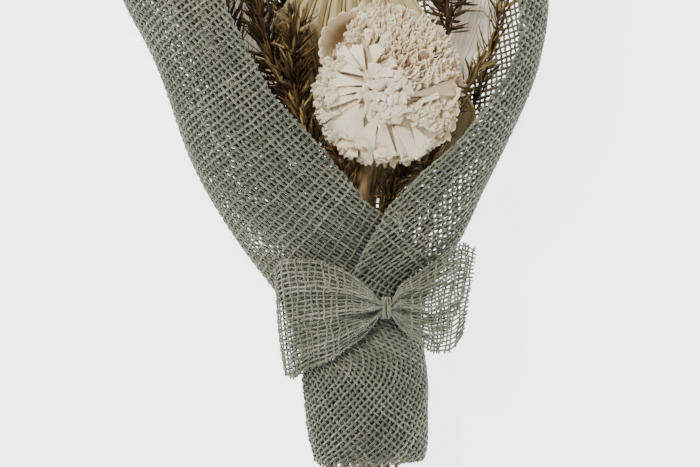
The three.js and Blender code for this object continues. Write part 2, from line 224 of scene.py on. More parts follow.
# ------------------------------------------------------------------ mesh helpers
def build(name, verts, quads, uv=None, rnd=None, tris=None, bake=None):
    """verts (n,3) mm in the layout; quads (m,4); rnd one number a vertex; bake a uv for the export."""
    me = bpy.data.meshes.new(name)
    v = place(verts)
    quads = np.asarray(quads, np.int64).reshape(-1, 4)
    tris = np.zeros((0, 3), np.int64) if tris is None else np.asarray(tris, np.int64).reshape(-1, 3)
    me.vertices.add(len(v))
    me.vertices.foreach_set("co", v.astype(np.float32).ravel())
    nl = quads.size + tris.size
    me.loops.add(nl)
    idx = np.concatenate([quads.ravel(), tris.ravel()]).astype(np.int32)
    me.loops.foreach_set("vertex_index", idx)
    nf = len(quads) + len(tris)
    me.polygons.add(nf)
    start = np.concatenate([np.arange(len(quads)) * 4, quads.size + np.arange(len(tris)) * 3]).astype(np.int32)
    me.polygons.foreach_set("loop_start", start)
    me.polygons.foreach_set("use_smooth", np.ones(nf, bool))
    if rnd is not None:
        a = me.attributes.new("rnd", "FLOAT", "POINT")
        a.data.foreach_set("value", np.asarray(rnd, np.float32))
    me.update(calc_edges=True)
    if uv is not None:
        me.uv_layers.new(name="UVMap").data.foreach_set("uv", np.asarray(uv, np.float32).ravel())
    if bake is not None:
        me.uv_layers.new(name="OFBake").data.foreach_set("uv", np.asarray(bake, np.float32).ravel())
    me.validate(clean_customdata=False)
    o = bpy.data.objects.new(name, me)
    bpy.context.scene.collection.objects.link(o)
    return o


def piece(o, nodes, slot, mat):
    o.data.materials.append(mat)
    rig.ride(o, "root")
    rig.replaces(o, *([nodes] if isinstance(nodes, str) else nodes))
    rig.slot(o, slot)
    return o


def unit(v):
    return v / np.maximum(np.linalg.norm(v, axis=-1, keepdims=True), 1e-9)


class Tubes:
    """Many closed, capped tubes in one mesh."""

    def __init__(self, sides=5):
        self.sides, self.v, self.q, self.t, self.r, self.uv, self.n = sides, [], [], [], [], [], 0
        self.length, self.segs = 0.0, []

    def add(self, pts, normal, ru, rn, rnd=0.5, twist=0.0):
        pts = np.asarray(pts, float)
        m, k = len(pts), self.sides
        if m < 2:
            return
        t = unit(np.gradient(pts, axis=0))
        nrm = np.broadcast_to(normal, pts.shape)
        side = unit(np.cross(t, nrm))
        up = np.cross(side, t)
        a = 2 * np.pi * (np.arange(k) + 0.5) / k
        ru, rn = np.broadcast_to(ru, (m,)), np.broadcast_to(rn, (m,))
        a = a[None, :] + (np.arange(m) * twist)[:, None] if twist else np.broadcast_to(a, (m, k))
        ring = (pts[:, None] + side[:, None] * (ru[:, None] * np.cos(a))[..., None] + up[:, None] * (rn[:, None] * np.sin(a))[..., None])
        self.v.append(ring.reshape(-1, 3))
        self.v.append(np.array([pts[0] - t[0] * rn[0] * 0.4, pts[-1] + t[-1] * rn[-1] * 0.4]))
        i = self.n + np.arange(m - 1)[:, None] * k
        j, j2 = np.arange(k)[None, :], (np.arange(k)[None, :] + 1) % k
        self.q.append(np.stack([i + j, i + k + j, i + k + j2, i + j2], -1).reshape(-1, 4))
        c0, c1, last = self.n + m * k, self.n + m * k + 1, self.n + (m - 1) * k
        jj, jn = np.arange(k), (np.arange(k) + 1) % k
        self.t.append(np.stack([np.full(k, c0), self.n + jj, self.n + jn], -1))
        self.t.append(np.stack([np.full(k, c1), last + jn, last + jj], -1))
        self.r.append(np.broadcast_to(rnd, (m,)).repeat(k) if np.ndim(rnd) else np.full(m * k, rnd))
        self.r.append(np.full(2, rnd if not np.ndim(rnd) else float(np.mean(rnd))))
        seg = np.linalg.norm(np.diff(pts, axis=0), axis=1)
        cum = np.concatenate([[0], np.cumsum(seg)])
        self.segs.append((m, cum, self.length))
        self.length += cum[-1] + 1.0
        self.n += m * k + 2

    def make(self, name):
        k = self.sides
        v, r = np.concatenate(self.v), np.concatenate(self.r)
        q, t = np.concatenate(self.q), np.concatenate(self.t)
        girth = 4.0
        row = math.sqrt(max(self.length, 1) * girth) + 1
        rows = math.ceil(self.length / row) + 1
        uv, bake = [], []
        for m, cum, start in self.segs:
            a, b = cum[:-1], cum[1:]
            g0, g1 = np.arange(k) / k, (np.arange(k) + 1) / k
            A, B = np.broadcast_to(a[:, None], (m - 1, k)), np.broadcast_to(b[:, None], (m - 1, k))
            G0, G1 = np.broadcast_to(g0, (m - 1, k)), np.broadcast_to(g1, (m - 1, k))
            uv.append(np.stack([np.stack([A, G0], -1), np.stack([B, G0], -1), np.stack([B, G1], -1), np.stack([A, G1], -1)], 2).reshape(-1, 4, 2))
            at = start + a
            ri = np.floor(at / row)
            x0 = (at - ri * row) / (row * 1.03)
            x1 = x0 + (b - a) / (row * 1.03)
            X0, X1 = np.broadcast_to(x0[:, None], (m - 1, k)), np.broadcast_to(x1[:, None], (m - 1, k))
            y0 = (ri[:, None] + 0.06 + 0.86 * G0) / rows
            y1 = (ri[:, None] + 0.06 + 0.86 * G1) / rows
            bake.append(np.stack([np.stack([X0, y0], -1), np.stack([X1, y0], -1), np.stack([X1, y1], -1), np.stack([X0, y1], -1)], 2).reshape(-1, 4, 2))
        uv, bake = np.concatenate(uv), np.concatenate(bake)
        ntri = len(t) * 3
        cap = np.zeros((ntri, 2))
        capb = np.tile(np.array([[0.0, 0.998], [0.001, 0.998], [0.001, 0.999]]), (len(t), 1))
        return build(name, v, q, uv=np.concatenate([uv.reshape(-1, 2), cap]), rnd=r, tris=t,
                     bake=np.concatenate([bake.reshape(-1, 2), capb]))


def grid_shell(fn_pts, thick, closed=False):
    """A thin closed shell from a grid of points (nu, nv, 3): returns verts, quads, uv."""
    P = np.asarray(fn_pts, float)
    nu, nv = P.shape[:2]
    du, dv = np.gradient(P, axis=0), np.gradient(P, axis=1)
    n = unit(np.cross(du, dv))
    th = np.asarray(thick, float)
    if th.ndim:
        th = th[..., None]
    V = np.concatenate([(P + n * th / 2).reshape(-1, 3), (P - n * th / 2).reshape(-1, 3)])
    N = nu * nv
    i, j = np.meshgrid(np.arange(nu - 1), np.arange(nv - 1), indexing="ij")
    a = (i * nv + j).ravel()
    q = [np.stack([a, a + nv, a + nv + 1, a + 1], -1), np.stack([N + a, N + a + 1, N + a + nv + 1, N + a + nv], -1)]
    e = np.arange(nu - 1) * nv
    q.append(np.stack([N + e, N + e + nv, e + nv, e], -1))
    e2 = e + nv - 1
    q.append(np.stack([e2, e2 + nv, N + e2 + nv, N + e2], -1))
    f = np.arange(nv - 1)
    q.append(np.stack([N + f + 1, N + f, f, f + 1], -1))
    g = (nu - 1) * nv + f
    q.append(np.stack([g + 1, g, N + g, N + g + 1], -1))
    return V, np.concatenate(q)


class Parts:
    """Several closed shells in one mesh."""

    def __init__(self):
        self.v, self.q, self.r, self.n = [], [], [], 0

    def shell(self, P, thick, rnd=0.5):
        v, q = grid_shell(P, thick)
        self.v.append(v); self.q.append(q + self.n); self.n += len(v)
        r = np.asarray(rnd, float)
        self.r.append(np.full(len(v), float(r)) if r.ndim == 0 else np.concatenate([r.ravel(), r.ravel()]))

    def loft(self, rings, rnd=0.5):
        """rings (m, k, 3): a closed, capped body; caps as fans of quads round the last ring's centre."""
        R = np.asarray(rings, float)
        m, k = R.shape[:2]
        c0, c1 = R[0].mean(0), R[-1].mean(0)
        R = np.concatenate([np.broadcast_to(c0 + (R[0] - c0) * 0.02, (k, 3))[None], R, np.broadcast_to(c1 + (R[-1] - c1) * 0.02, (k, 3))[None]])
        m += 2
        i = np.arange(m - 1)[:, None] * k
        j, j2 = np.arange(k)[None, :], (np.arange(k)[None, :] + 1) % k
        q = np.stack([i + j, i + j2, i + k + j2, i + k + j], -1).reshape(-1, 4)
        capq = []
        for base, flip in ((0, True), ((m - 1) * k, False)):
            for s in range(1, k - 2, 2):
                f = [base, base + s, base + s + 1, base + s + 2]
                capq.append(f[::-1] if flip else f)
        q = np.concatenate([q, np.array(capq)])
        self.v.append(R.reshape(-1, 3)); self.q.append(q + self.n); self.n += m * k
        r = np.asarray(rnd, float)
        if r.ndim:
            r = np.concatenate([r[:1], r, r[-1:]]).repeat(k)
        else:
            r = np.full(m * k, float(r))
        self.r.append(r)

    def make(self, name):
        return build(name, np.concatenate(self.v), np.concatenate(self.q), rnd=np.concatenate(self.r))


def spline(pts, n):
    """centripetal Catmull-Rom through pts, n points at even arc length"""
    P = np.asarray(pts, float)
    P = np.vstack([2 * P[0] - P[1], P, 2 * P[-1] - P[-2]])
    out = []
    for i in range(1, len(P) - 2):
        p0, p1, p2, p3 = P[i - 1:i + 3]
        t0 = 0.0
        t1 = t0 + max(np.linalg.norm(p1 - p0), 1e-6) ** 0.5
        t2 = t1 + max(np.linalg.norm(p2 - p1), 1e-6) ** 0.5
        t3 = t2 + max(np.linalg.norm(p3 - p2), 1e-6) ** 0.5
        t = np.linspace(t1, t2, 40, endpoint=False)[:, None]
        a1 = (t1 - t) / (t1 - t0) * p0 + (t - t0) / (t1 - t0) * p1
        a2 = (t2 - t) / (t2 - t1) * p1 + (t - t1) / (t2 - t1) * p2
        a3 = (t3 - t) / (t3 - t2) * p2 + (t - t2) / (t3 - t2) * p3
        b1 = (t2 - t) / (t2 - t0) * a1 + (t - t0) / (t2 - t0) * a2
        b2 = (t3 - t) / (t3 - t1) * a2 + (t - t1) / (t3 - t1) * a3
        out.append((t2 - t) / (t2 - t1) * b1 + (t - t1) / (t2 - t1) * b2)
    out = np.vstack(out + [P[-2][None]])
    d = np.concatenate([[0], np.cumsum(np.linalg.norm(np.diff(out, axis=0), axis=1))])
    s = np.linspace(0, d[-1], n)
    return np.stack([np.interp(s, d, out[:, k]) for k in range(3)], -1)


def wobble(x, seed, wave=20.0, octaves=3):
    """smooth noise of one number, about -1..1"""
    g = np.random.default_rng(seed)
    out = np.zeros_like(np.asarray(x, float))
    amp = 1.0
    for o in range(octaves):
        k = 2 ** o / wave
        out += amp * np.sin(2 * np.pi * (k * x * (0.8 + 0.4 * g.random()) + g.random()))
        amp *= 0.6
    return out / 1.7


# ------------------------------------------------------------------ materials
def material(name, rough=0.85):
    m = bpy.data.materials.new(name)
    m.use_nodes = True
    nt = m.node_tree
    nt.nodes.clear()
    out = nt.nodes.new("ShaderNodeOutputMaterial")
    bs = nt.nodes.new("ShaderNodeBsdfPrincipled")
    bs.inputs["Roughness"].default_value = rough
    bs.inputs["Specular IOR Level"].default_value = 0.25
    nt.links.new(bs.outputs[0], out.inputs[0])
    return m, nt, bs


def srgb(r, g, b):
    c = [x / 255.0 for x in (r, g, b)]
    return tuple(((x + 0.055) / 1.055) ** 2.4 if x > 0.04045 else x / 12.92 for x in c) + (1.0,)


def ramp(nt, fac, stops):
    n = nt.nodes.new("ShaderNodeValToRGB")
    e = n.color_ramp.elements
    while len(e) < len(stops):
        e.new(0.5)
    for el, (p, c) in zip(e, stops):
        el.position, el.color = p, c
    nt.links.new(fac, n.inputs[0])
    return n.outputs[0]


def noise(nt, scale, detail=3.0, vec=None, rough=0.6, dist=0.0):
    n = nt.nodes.new("ShaderNodeTexNoise")
    n.inputs["Scale"].default_value = scale
    n.inputs["Detail"].default_value = detail
    n.inputs["Roughness"].default_value = rough
    n.inputs["Distortion"].default_value = dist
    if vec is not None:
        nt.links.new(vec, n.inputs["Vector"])
    return n.outputs["Fac"]


def mix(nt, a, b, fac, mode="MIX"):
    n = nt.nodes.new("ShaderNodeMix")
    n.data_type, n.blend_type = "RGBA", mode
    if isinstance(fac, float):
        n.inputs[0].default_value = fac
    else:
        nt.links.new(fac, n.inputs[0])
    nt.links.new(a, n.inputs[6])
    if isinstance(b, tuple):
        n.inputs[7].default_value = b
    else:
        nt.links.new(b, n.inputs[7])
    return n.outputs[2]


def attr(nt, name="rnd"):
    n = nt.nodes.new("ShaderNodeAttribute")
    n.attribute_name = name
    return n.outputs["Fac"]


def coord(nt, scale=(1, 1, 1), kind="Object", rot=(0, 0, 0)):
    t = nt.nodes.new("ShaderNodeTexCoord")
    m = nt.nodes.new("ShaderNodeMapping")
    m.inputs["Scale"].default_value = scale
    m.inputs["Rotation"].default_value = rot
    nt.links.new(t.outputs[kind], m.inputs["Vector"])
    return m.outputs["Vector"]


def bump(nt, bs, height, strength=0.3, dist=0.0003):
    b = nt.nodes.new("ShaderNodeBump")
    b.inputs["Strength"].default_value = strength
    b.inputs["Distance"].default_value = dist
    nt.links.new(height, b.inputs["Height"])
    nt.links.new(b.outputs[0], bs.inputs["Normal"])


def yarn_material(name, dark, mid, light, sheen=0.35, twist=1.4):
    m, nt, bs = material(name, 0.92)
    bs.inputs["Sheen Weight"].default_value = sheen
    bs.inputs["Sheen Roughness"].default_value = 0.6
    base = ramp(nt, attr(nt), [(0.0, dark), (0.5, mid), (1.0, light)])
    # slubs and dusty patches
    patch = noise(nt, 55, 3)
    base = mix(nt, base, light, ramp(nt, patch, [(0.45, (0, 0, 0, 1)), (0.8, (0.35, 0.35, 0.35, 1))]))
    fine = noise(nt, 900, 2)
    base = mix(nt, base, dark, ramp(nt, fine, [(0.48, (0, 0, 0, 1)), (0.75, (0.5, 0.5, 0.5, 1))]))
    # fibres twisted along each thread
    w = nt.nodes.new("ShaderNodeTexWave")
    w.wave_type, w.bands_direction = "BANDS", "DIAGONAL"
    w.inputs["Scale"].default_value = twist
    w.inputs["Distortion"].default_value = 1.2
    w.inputs["Detail"].default_value = 2.0
    nt.links.new(coord(nt, (1.0, 2.0, 1.0), "UV"), w.inputs["Vector"])
    base = mix(nt, base, dark, ramp(nt, w.outputs["Fac"], [(0.0, (0.38, 0.38, 0.38, 1)), (0.6, (0, 0, 0, 1))]))
    nt.links.new(base, bs.inputs["Base Color"])
    bump(nt, bs, w.outputs["Fac"], 0.5, 0.00025)
    return m


MESH_MAT = yarn_material("mesh_yarn", srgb(66, 71, 52), srgb(102, 107, 84), srgb(145, 149, 124))
TIE_MAT = yarn_material("tie_thread", srgb(88, 91, 68), srgb(120, 122, 98), srgb(152, 153, 128))
TWINE_MAT = yarn_material("binding_twine", srgb(88, 72, 50), srgb(128, 106, 76), srgb(160, 138, 104))


def petal_material(name, deep, base, light, blush):
    m, nt, bs = material(name, 0.8)
    bs.inputs["Subsurface Weight"].default_value = 0.12
    bs.inputs["Subsurface Radius"].default_value = (0.004, 0.0025, 0.0015)
    bs.inputs["Subsurface Scale"].default_value = 0.35
    # the lowest values are the few rust-coloured specks between the petals
    c = ramp(nt, attr(nt), [(0.0, srgb(150, 84, 58)), (0.03, srgb(168, 104, 76)), (0.07, deep), (0.4, base), (1.0, light)])
    c = mix(nt, c, blush, ramp(nt, noise(nt, 38, 3), [(0.5, (0, 0, 0, 1)), (0.75, (0.3, 0.3, 0.3, 1))]))
    c = mix(nt, c, light, ramp(nt, noise(nt, 160, 4), [(0.45, (0, 0, 0, 1)), (0.7, (0.4, 0.4, 0.4, 1))]))
    c = mix(nt, c, deep, ramp(nt, noise(nt, 420, 4), [(0.55, (0, 0, 0, 1)), (0.8, (0.35, 0.35, 0.35, 1))]))
    nt.links.new(c, bs.inputs["Base Color"])
    bump(nt, bs, noise(nt, 650, 5), 0.35, 0.0003)
    return m


PETAL_MAT = petal_material("petal", srgb(136, 110, 80), srgb(215, 196, 160), srgb(237, 223, 195), srgb(212, 182, 146))
INNER_MAT = petal_material("petal_inner", srgb(178, 146, 110), srgb(224, 204, 172), srgb(242, 229, 206), srgb(220, 186, 150))


def leaf_material(name, dark, base, light, tip, streak=1.0):
    """dry pleated leaf: the tone attribute runs 0 in a pleat's valley, painted shade, to 1 on its ridge, a painted
    highlight; UV x goes along the leaf
    """
    m, nt, bs = material(name, 0.62)
    bs.inputs["Specular IOR Level"].default_value = 0.35
    c = ramp(nt, attr(nt), [(0.0, dark), (0.16, base), (0.75, base), (1.0, light)])
    fib = noise(nt, 1.0, 4, coord(nt, (14, 900, 1), "UV"), 0.7)
    c = mix(nt, c, light, ramp(nt, fib, [(0.42, (0, 0, 0, 1)), (0.7, (0.5 * streak,) * 3 + (1,))]))
    fib2 = noise(nt, 1.0, 3, coord(nt, (5, 420, 1), "UV"), 0.6)
    c = mix(nt, c, dark, ramp(nt, fib2, [(0.52, (0, 0, 0, 1)), (0.85, (0.55 * streak,) * 3 + (1,))]))
    c = mix(nt, c, tip, ramp(nt, noise(nt, 26, 4), [(0.5, (0, 0, 0, 1)), (0.78, (0.5, 0.5, 0.5, 1))]))
    nt.links.new(c, bs.inputs["Base Color"])
    bump(nt, bs, fib, 0.3, 0.0003)
    return m


PALM_MAT = leaf_material("palm_olive", srgb(50, 39, 18), srgb(184, 166, 120), srgb(222, 208, 170), srgb(168, 156, 108))
WHITE_MAT = leaf_material("palm_bleached", srgb(112, 92, 62), srgb(250, 240, 218), srgb(255, 251, 240), srgb(246, 232, 206), 0.22)
# painted glow: a faint emission brightens the bleached leaf where it lies in shade under the flower and sprigs
WHITE_BS = next(n for n in WHITE_MAT.node_tree.nodes if n.type == "BSDF_PRINCIPLED")
WHITE_BS.inputs["Emission Color"].default_value = (1.0, 0.92, 0.78, 1)
WHITE_BS.inputs["Emission Strength"].default_value = 0.2


def needle_material():
    m, nt, bs = material("needles", 0.6)
    bs.inputs["Specular IOR Level"].default_value = 0.4
    c = ramp(nt, attr(nt), [(0.0, srgb(28, 17, 6)), (0.3, srgb(60, 42, 17)), (0.55, srgb(96, 73, 34)), (0.8, srgb(136, 110, 62)), (1.0, srgb(172, 148, 98))])
    c = mix(nt, c, srgb(84, 48, 26), ramp(nt, noise(nt, 120, 3), [(0.45, (0, 0, 0, 1)), (0.75, (0.5, 0.5, 0.5, 1))]))
    c = mix(nt, c, srgb(40, 30, 18), ramp(nt, noise(nt, 700, 3), [(0.5, (0, 0, 0, 1)), (0.8, (0.5, 0.5, 0.5, 1))]))
    nt.links.new(c, bs.inputs["Base Color"])
    bump(nt, bs, noise(nt, 900, 3), 0.4, 0.0003)
    return m


NEEDLE_MAT = needle_material()


def wood_material():
    m, nt, bs = material("dry_wood", 0.75)
    v = coord(nt, (260, 14, 260))
    g = noise(nt, 1.0, 5, v, 0.65)
    c = ramp(nt, g, [(0.25, srgb(84, 66, 44)), (0.5, srgb(140, 110, 72)), (0.72, srgb(176, 148, 104)), (0.9, srgb(120, 88, 62))])
    c = mix(nt, c, srgb(96, 74, 60), ramp(nt, noise(nt, 60, 3), [(0.5, (0, 0, 0, 1)), (0.75, (0.5, 0.5, 0.5, 1))]))
    c = mix(nt, c, srgb(70, 56, 42), ramp(nt, attr(nt), [(0.6, (0, 0, 0, 1)), (1.0, (0.75, 0.75, 0.75, 1))]))
    nt.links.new(c, bs.inputs["Base Color"])
    bump(nt, bs, g, 0.6, 0.0005)
    return m


WOOD_MAT = wood_material()

# ------------------------------------------------------------------ the wrap: real threads laid on the wrap's surface
RHO0 = 118.0
TH = np.linspace(-95, 465, 561)
YG = np.linspace(-124, 214, 170)
_xc, _w, _zc, _b = section(YG)
_px = _xc[:, None] - _w[:, None] * np.sin(np.radians(TH))
_pz = _zc[:, None] + _b[:, None] * np.cos(np.radians(TH))
_d = np.hypot(np.diff(_px, axis=1), np.diff(_pz, axis=1))
_S = np.concatenate([np.zeros((len(YG), 1)), np.cumsum(_d, axis=1)], 1)
_S -= np.array([np.interp(180, TH, r) for r in _S])[:, None]
SG = np.arange(-420, 421, 1.0)
_T = np.array([np.interp(SG, r, TH) for r in _S])  # (y, s) -> theta


def bilin(A, y, s):
    fy = np.clip((y - YG[0]) / (YG[1] - YG[0]), 0, len(YG) - 1.001)
    fs = np.clip((s - SG[0]) / (SG[1] - SG[0]), 0, len(SG) - 1.001)
    i, j = fy.astype(int), fs.astype(int)
    a, b = fy - i, fs - j
    return (A[i, j] * (1 - a) * (1 - b) + A[i + 1, j] * a * (1 - b) + A[i, j + 1] * (1 - a) * b + A[i + 1, j + 1] * a * b)


def s_of(theta, y):
    """arc length from the middle of the back"""
    fy = np.clip((y - YG[0]) / (YG[1] - YG[0]), 0, len(YG) - 1.001)
    i = fy.astype(int)
    a = fy - i
    ft = np.clip((theta - TH[0]) / (TH[1] - TH[0]), 0, len(TH) - 1.001)
    j = ft.astype(int)
    b = ft - j
    return ((_S[i, j] * (1 - b) + _S[i, j + 1] * b) * (1 - a) + (_S[i + 1, j] * (1 - b) + _S[i + 1, j + 1] * b) * a)


YT = np.linspace(-124, 214, 400)
SA = s_of(table(EDGES, YT, 1), YT)
SB = s_of(360 - table(EDGES, YT, 2), YT)


def y_foot(u):
    return FOOT_Y + 1.6 * np.sin(2 * np.pi * 3 * u + 1)


def y_rim(u):
    uu = np.clip(u, 0, 1)
    return RIM_FRONT + RIM_RISE * np.sin(np.pi * uu) + 2.5 * np.sin(2 * np.pi * 4 * uu)


def surf(s, y, off):
    """point of the wrap at arc length s, off mm outside (+) its outer face, with its outward normal"""
    deg = bilin(_T, y, s)
    t = np.radians(deg)
    xc, w, zc, b = section(y)
    n = unit(np.stack([-np.sin(t) / w, np.cos(t) / b], -1))
    lift = (SHEET + FLAP_GAP) * smooth((deg - 268) / 34)
    # the free edge of the right flap stands a little off the left one above the bow
    lift = lift + 2.8 * np.exp(-((s - np.interp(y, YT, SB)) / 8.0) ** 2) * smooth((y + 24) / 8) * smooth((16 - y) / 14) if "SB" in globals() else lift
    # soft wrinkles, none where the flaps overlap or where the bunch rests
    wr = 0.55 * np.sin(s * 0.05 + y * 0.028 + 0.6 * np.sin(y * 0.045)) * smooth((y + 20) / 60) + 0.35 * np.sin(s * 0.021 - y * 0.06)
    x = xc - w * np.sin(t) + n[..., 0] * (lift + off + wr - 0.4)
    z = zc + b * np.cos(t) + n[..., 1] * (lift + off + wr - 0.4)
    floor = np.maximum(-off, 0.0)
    z = np.where(z < floor, floor, z)
    return np.stack([x, y, z], -1), np.stack([n[..., 0], np.zeros_like(y), n[..., 1]], -1), deg


RF = 1.0          # radius of the folded edge
FOLD_L, FOLD_R = 80.0, 24.0


def lay(X, Y, off):
    """flat sheet coordinates -> point, normal, inside?, region key"""
    rho, phi = np.hypot(X, Y), np.arctan2(X, Y)
    y = (rho - RHO0) / 1.05 + FOOT_Y
    # the cloth is gathered at the waist, so below it the weave runs on the bias
    k = smooth((y + 74) / 58)
    s = (122.0 * (1 - k) + rho * k) * phi
    yy = np.clip(y, -123, 213)
    sa, sb = np.interp(yy, YT, SA), np.interp(yy, YT, SB)
    u = (s - sa) / (sb - sa)
    ok = (y > y_foot(np.clip(u, 0, 1))) & (y < y_rim(u))
    # past an edge the sheet turns round the fold and runs back inside
    P, N, deg = surf(np.clip(s, sa, sb), yy, off)
    for edge, sign, width in ((sa, -1.0, FOLD_L), (sb, 1.0, FOLD_R)):
        e = (s - edge) * sign
        over = e > 0
        ok &= ~(over & (e > width))
        if not over.any():
            continue
        ang = np.clip(e / RF, 0, np.pi)
        back = np.maximum(e - np.pi * RF, 0)
        mid_off = -0.8
        Pe, Ne, de = surf(edge - sign * back, yy, mid_off)
        Pe2, _, _ = surf(edge - sign * (back + 1.0), yy, mid_off)
        T = unit(Pe - Pe2)
        # centre line of the fold, then the thread's own height measured from it
        c, sn = np.cos(ang)[:, None], np.sin(ang)[:, None]
        h = (off - mid_off)[:, None]
        centre = Pe - Ne * RF
        Q = centre + T * sn * (RF + h) + Ne * c * (RF + h)
        Nq = T * sn + Ne * c
        P = np.where(over[:, None], Q, P)
        N = np.where(over[:, None], Nq, N)
        deg = np.where(over, de, deg)
    P[:, 2] = np.maximum(P[:, 2], 0.82)
    return P, N, ok, deg, y, u, s


PITCH = 3.05
STEP = 3


def region(deg, y, s):
    r = np.where(deg < 180, 0, 6)
    up = y > -26
    r[up & (deg < 70)] = 1
    r[up & (deg >= 70) & (deg < 150)] = 2
    r[up & (deg >= 150) & (deg < 225)] = 3
    r[up & (deg >= 225) & (deg < 292)] = 4
    r[up & (deg >= 292)] = 5
    return r


REGIONS = ["wrap_foot_left", "wrap_left_front", "wrap_left_side", "wrap_back", "wrap_right_side", "wrap_right_front", "wrap_foot_right", "wrap_inner_turn_left", "wrap_inner_turn_right"]
bundles = [Tubes(5) for _ in REGIONS]
length_by_region = np.zeros(len(REGIONS))
H_AMP = 0.42


def run_threads(kind, count_lo, count_hi, lo, hi, inner=False):
    for i in range(count_lo, count_hi):
        n = int((hi - lo) / PITCH * STEP) + 1
        along = (np.arange(n) / STEP + math.ceil(lo / PITCH)) * PITCH
        jit = 0.28 * wobble(along, 1000 + i * 7 + (0 if kind == "V" else 50000), 26)
        across = np.full(n, (i + 0.5 * inner) * PITCH) + jit
        off = -0.8 - 2.1 * inner + (1 if kind == "V" else -1) * H_AMP * (-1) ** i * np.cos(np.pi * along / PITCH)
        X, Y = (across, along) if kind == "V" else (along, across)
        P, N, ok, deg, y, u, s = lay(X, Y, off)
        if inner:
            yc = np.clip(y, -123, 213)
            ok &= (y < -11) & (s > np.interp(yc, YT, SA) + 1) & (s < np.interp(yc, YT, SB) - 1)
        if not ok.any():
            continue
        reg = np.where(deg < 180, 7, 8) if inner else region(deg, y, s)
        g = np.random.default_rng(7000 + i * 3 + (0 if kind == "V" else 90000))
        tone = float(np.clip(0.5 + 0.22 * g.standard_normal(), 0, 1))
        thick = 0.57 * (1 + 0.07 * g.standard_normal())
        rr = thick * (1 + 0.12 * wobble(along, 300 + i, 9.0)) * (1 + 0.17 * smooth((deg - 140) / 20) * smooth((310 - deg) / 20))
        shade = np.clip(tone + 0.16 * wobble(along, 600 + i, 30), 0, 1)
        # runs of inside samples with one region each
        idx = np.flatnonzero(ok)
        cuts = np.flatnonzero((np.diff(idx) > 1) | (np.diff(reg[idx]) != 0)) + 1
        for part in np.split(idx, cuts):
            a, b = part[0], part[-1]
            if b + 1 < n and ok[b + 1]:
                b += 1  # meet the next region's first point
            if b - a < 2:
                continue
            sl = slice(a, b + 1)
            bundles[reg[part[0]]].add(P[sl], N[sl], rr[sl] * 1.06, rr[sl] * 0.94, shade[sl])
            length_by_region[reg[part[0]]] += (b - a) * PITCH / STEP


run_threads("V", int(-340 / PITCH), int(340 / PITCH), 6, 490)
run_threads("H", int(6 / PITCH), int(490 / PITCH), -340, 340)
# below the waist the gathered cloth goes round the stems twice
run_threads("V", int(-340 / PITCH), int(340 / PITCH), 106, 250, True)
run_threads("H", int(106 / PITCH), int(250 / PITCH), -340, 340, True)
wrap = []
for name, tb, ln in zip(REGIONS, bundles, length_by_region):
    if tb.n == 0:
        continue
    o = piece(tb.make(name), "mesh_wrap", "mesh", MESH_MAT)
    print(name, "tris", sum(len(p.vertices) - 2 for p in o.data.polygons), "thread m", round(ln / 1000, 2), flush=True)
    area = ln * PITCH / 2 / 1e6     # two sets of threads cover the sheet
    wrap.append((o, area))

# ------------------------------------------------------------------ the bow: one strip of the same mesh, gathered in the middle
BOW = np.array([
    [-36.6, -16.5, -31.5, -71.5, 3.5], [-35.2, -13.9, -28.6, -73.0, 6], [-27.9, -12.7, -24.9, -70.5, 8], [-19.4, -13.2, -16.9, -66.5, 9],
    [-10.5, -15.2, -8.5, -62.9, 9], [-2.5, -18.7, -0.6, -57.0, 8.5], [4.0, -23.2, 6.0, -52.0, 7.5], [10.4, -28.6, 11.2, -46.3, 6],
    [15.2, -33.8, 15.2, -40.6, 4.6], [20.6, -33.8, 20.6, -40.6, 4.6], [24.9, -26.2, 24.0, -46.0, 5.5], [29.4, -22.7, 29.9, -51.5, 6.5],
    [35.4, -18.7, 34.9, -55.5, 7], [41.3, -14.2, 40.8, -59.5, 7], [49.3, -8.7, 46.3, -60.0, 6.5], [56.3, -4.7, 51.3, -58.5, 5.5], [62.8, -7.5, 56.4, -51.0, 3.5]])
BT = np.concatenate([np.arange(len(BOW))[:, None], BOW], 1).astype(float)
KN = 8.5  # station of the knot


def bow_point(k, t, layer):
    """k station 0..16, t 0 bottom .. 1 top, layer 1 front .. 0 back"""
    xt, yt, xb, yb, th = (table(BT, k, c) for c in (1, 2, 3, 4, 5))
    x, y = xb + (xt - xb) * t, yb + (yt - yb) * t
    pin = np.exp(-((k - KN) / 1.15) ** 2)
    z0 = np.maximum(front_z(x, y) + 0.8, 41) + 0.9
    z0 = z0 * (1 - pin) + 51.6 * pin
    far = np.clip(np.abs(k - KN) / 8, 0, 1)
    bulge = np.sin(np.pi * np.clip(t, 0.03, 0.97)) ** 0.8
    zf = z0 + 0.9 + (th * 1.2) * bulge * (1 - pin)
    # pleats that run out from the knot and fade towards the edges
    fade = (1 - far) ** 0.7 * (1 - pin * 0.8)
    zf += 2.1 * fade * np.cos(2 * np.pi * 3.5 * t + 0.8 + 0.7 * (k < KN))
    zf += 0.5 * np.sin(k * 1.3 + t * 5) * far
    left = smooth((KN - 0.6 - k) / 1.5)
    # the upper half of the left wing folds over the lower half near the knot
    near = smooth(1.2 - far * 1.9)
    zf += left * near * (2.2 * np.tanh((t - 0.47) / 0.035) - 3.2 * np.exp(-((t - 0.40) / 0.06) ** 2))
    right = smooth((k - KN - 0.6) / 1.5)
    zf -= 2.2 * right * np.exp(-((t - 0.36) / 0.08) ** 2) * smooth(1.0 - far)
    z = z0 + 0.5 + (np.maximum(zf, z0 + 1.2) - z0 - 0.5) * layer
    return np.stack([x, y, z], -1)


def bow_strip(uu, t):
    """uu is the distance along the strip: back of the left loop, round its end, front, knot, right front edge"""
    uu = np.asarray(uu, float)
    k = np.where(uu < 0, -uu, uu)  # uu < 0: the back layer of the left loop
    return k


N_LONG = 23
bow_t = Tubes(5)
bow_len = 0.0


def bow_normals(P):
    return np.broadcast_to(np.array([0.0, 0.0, 1.0]), P.shape)


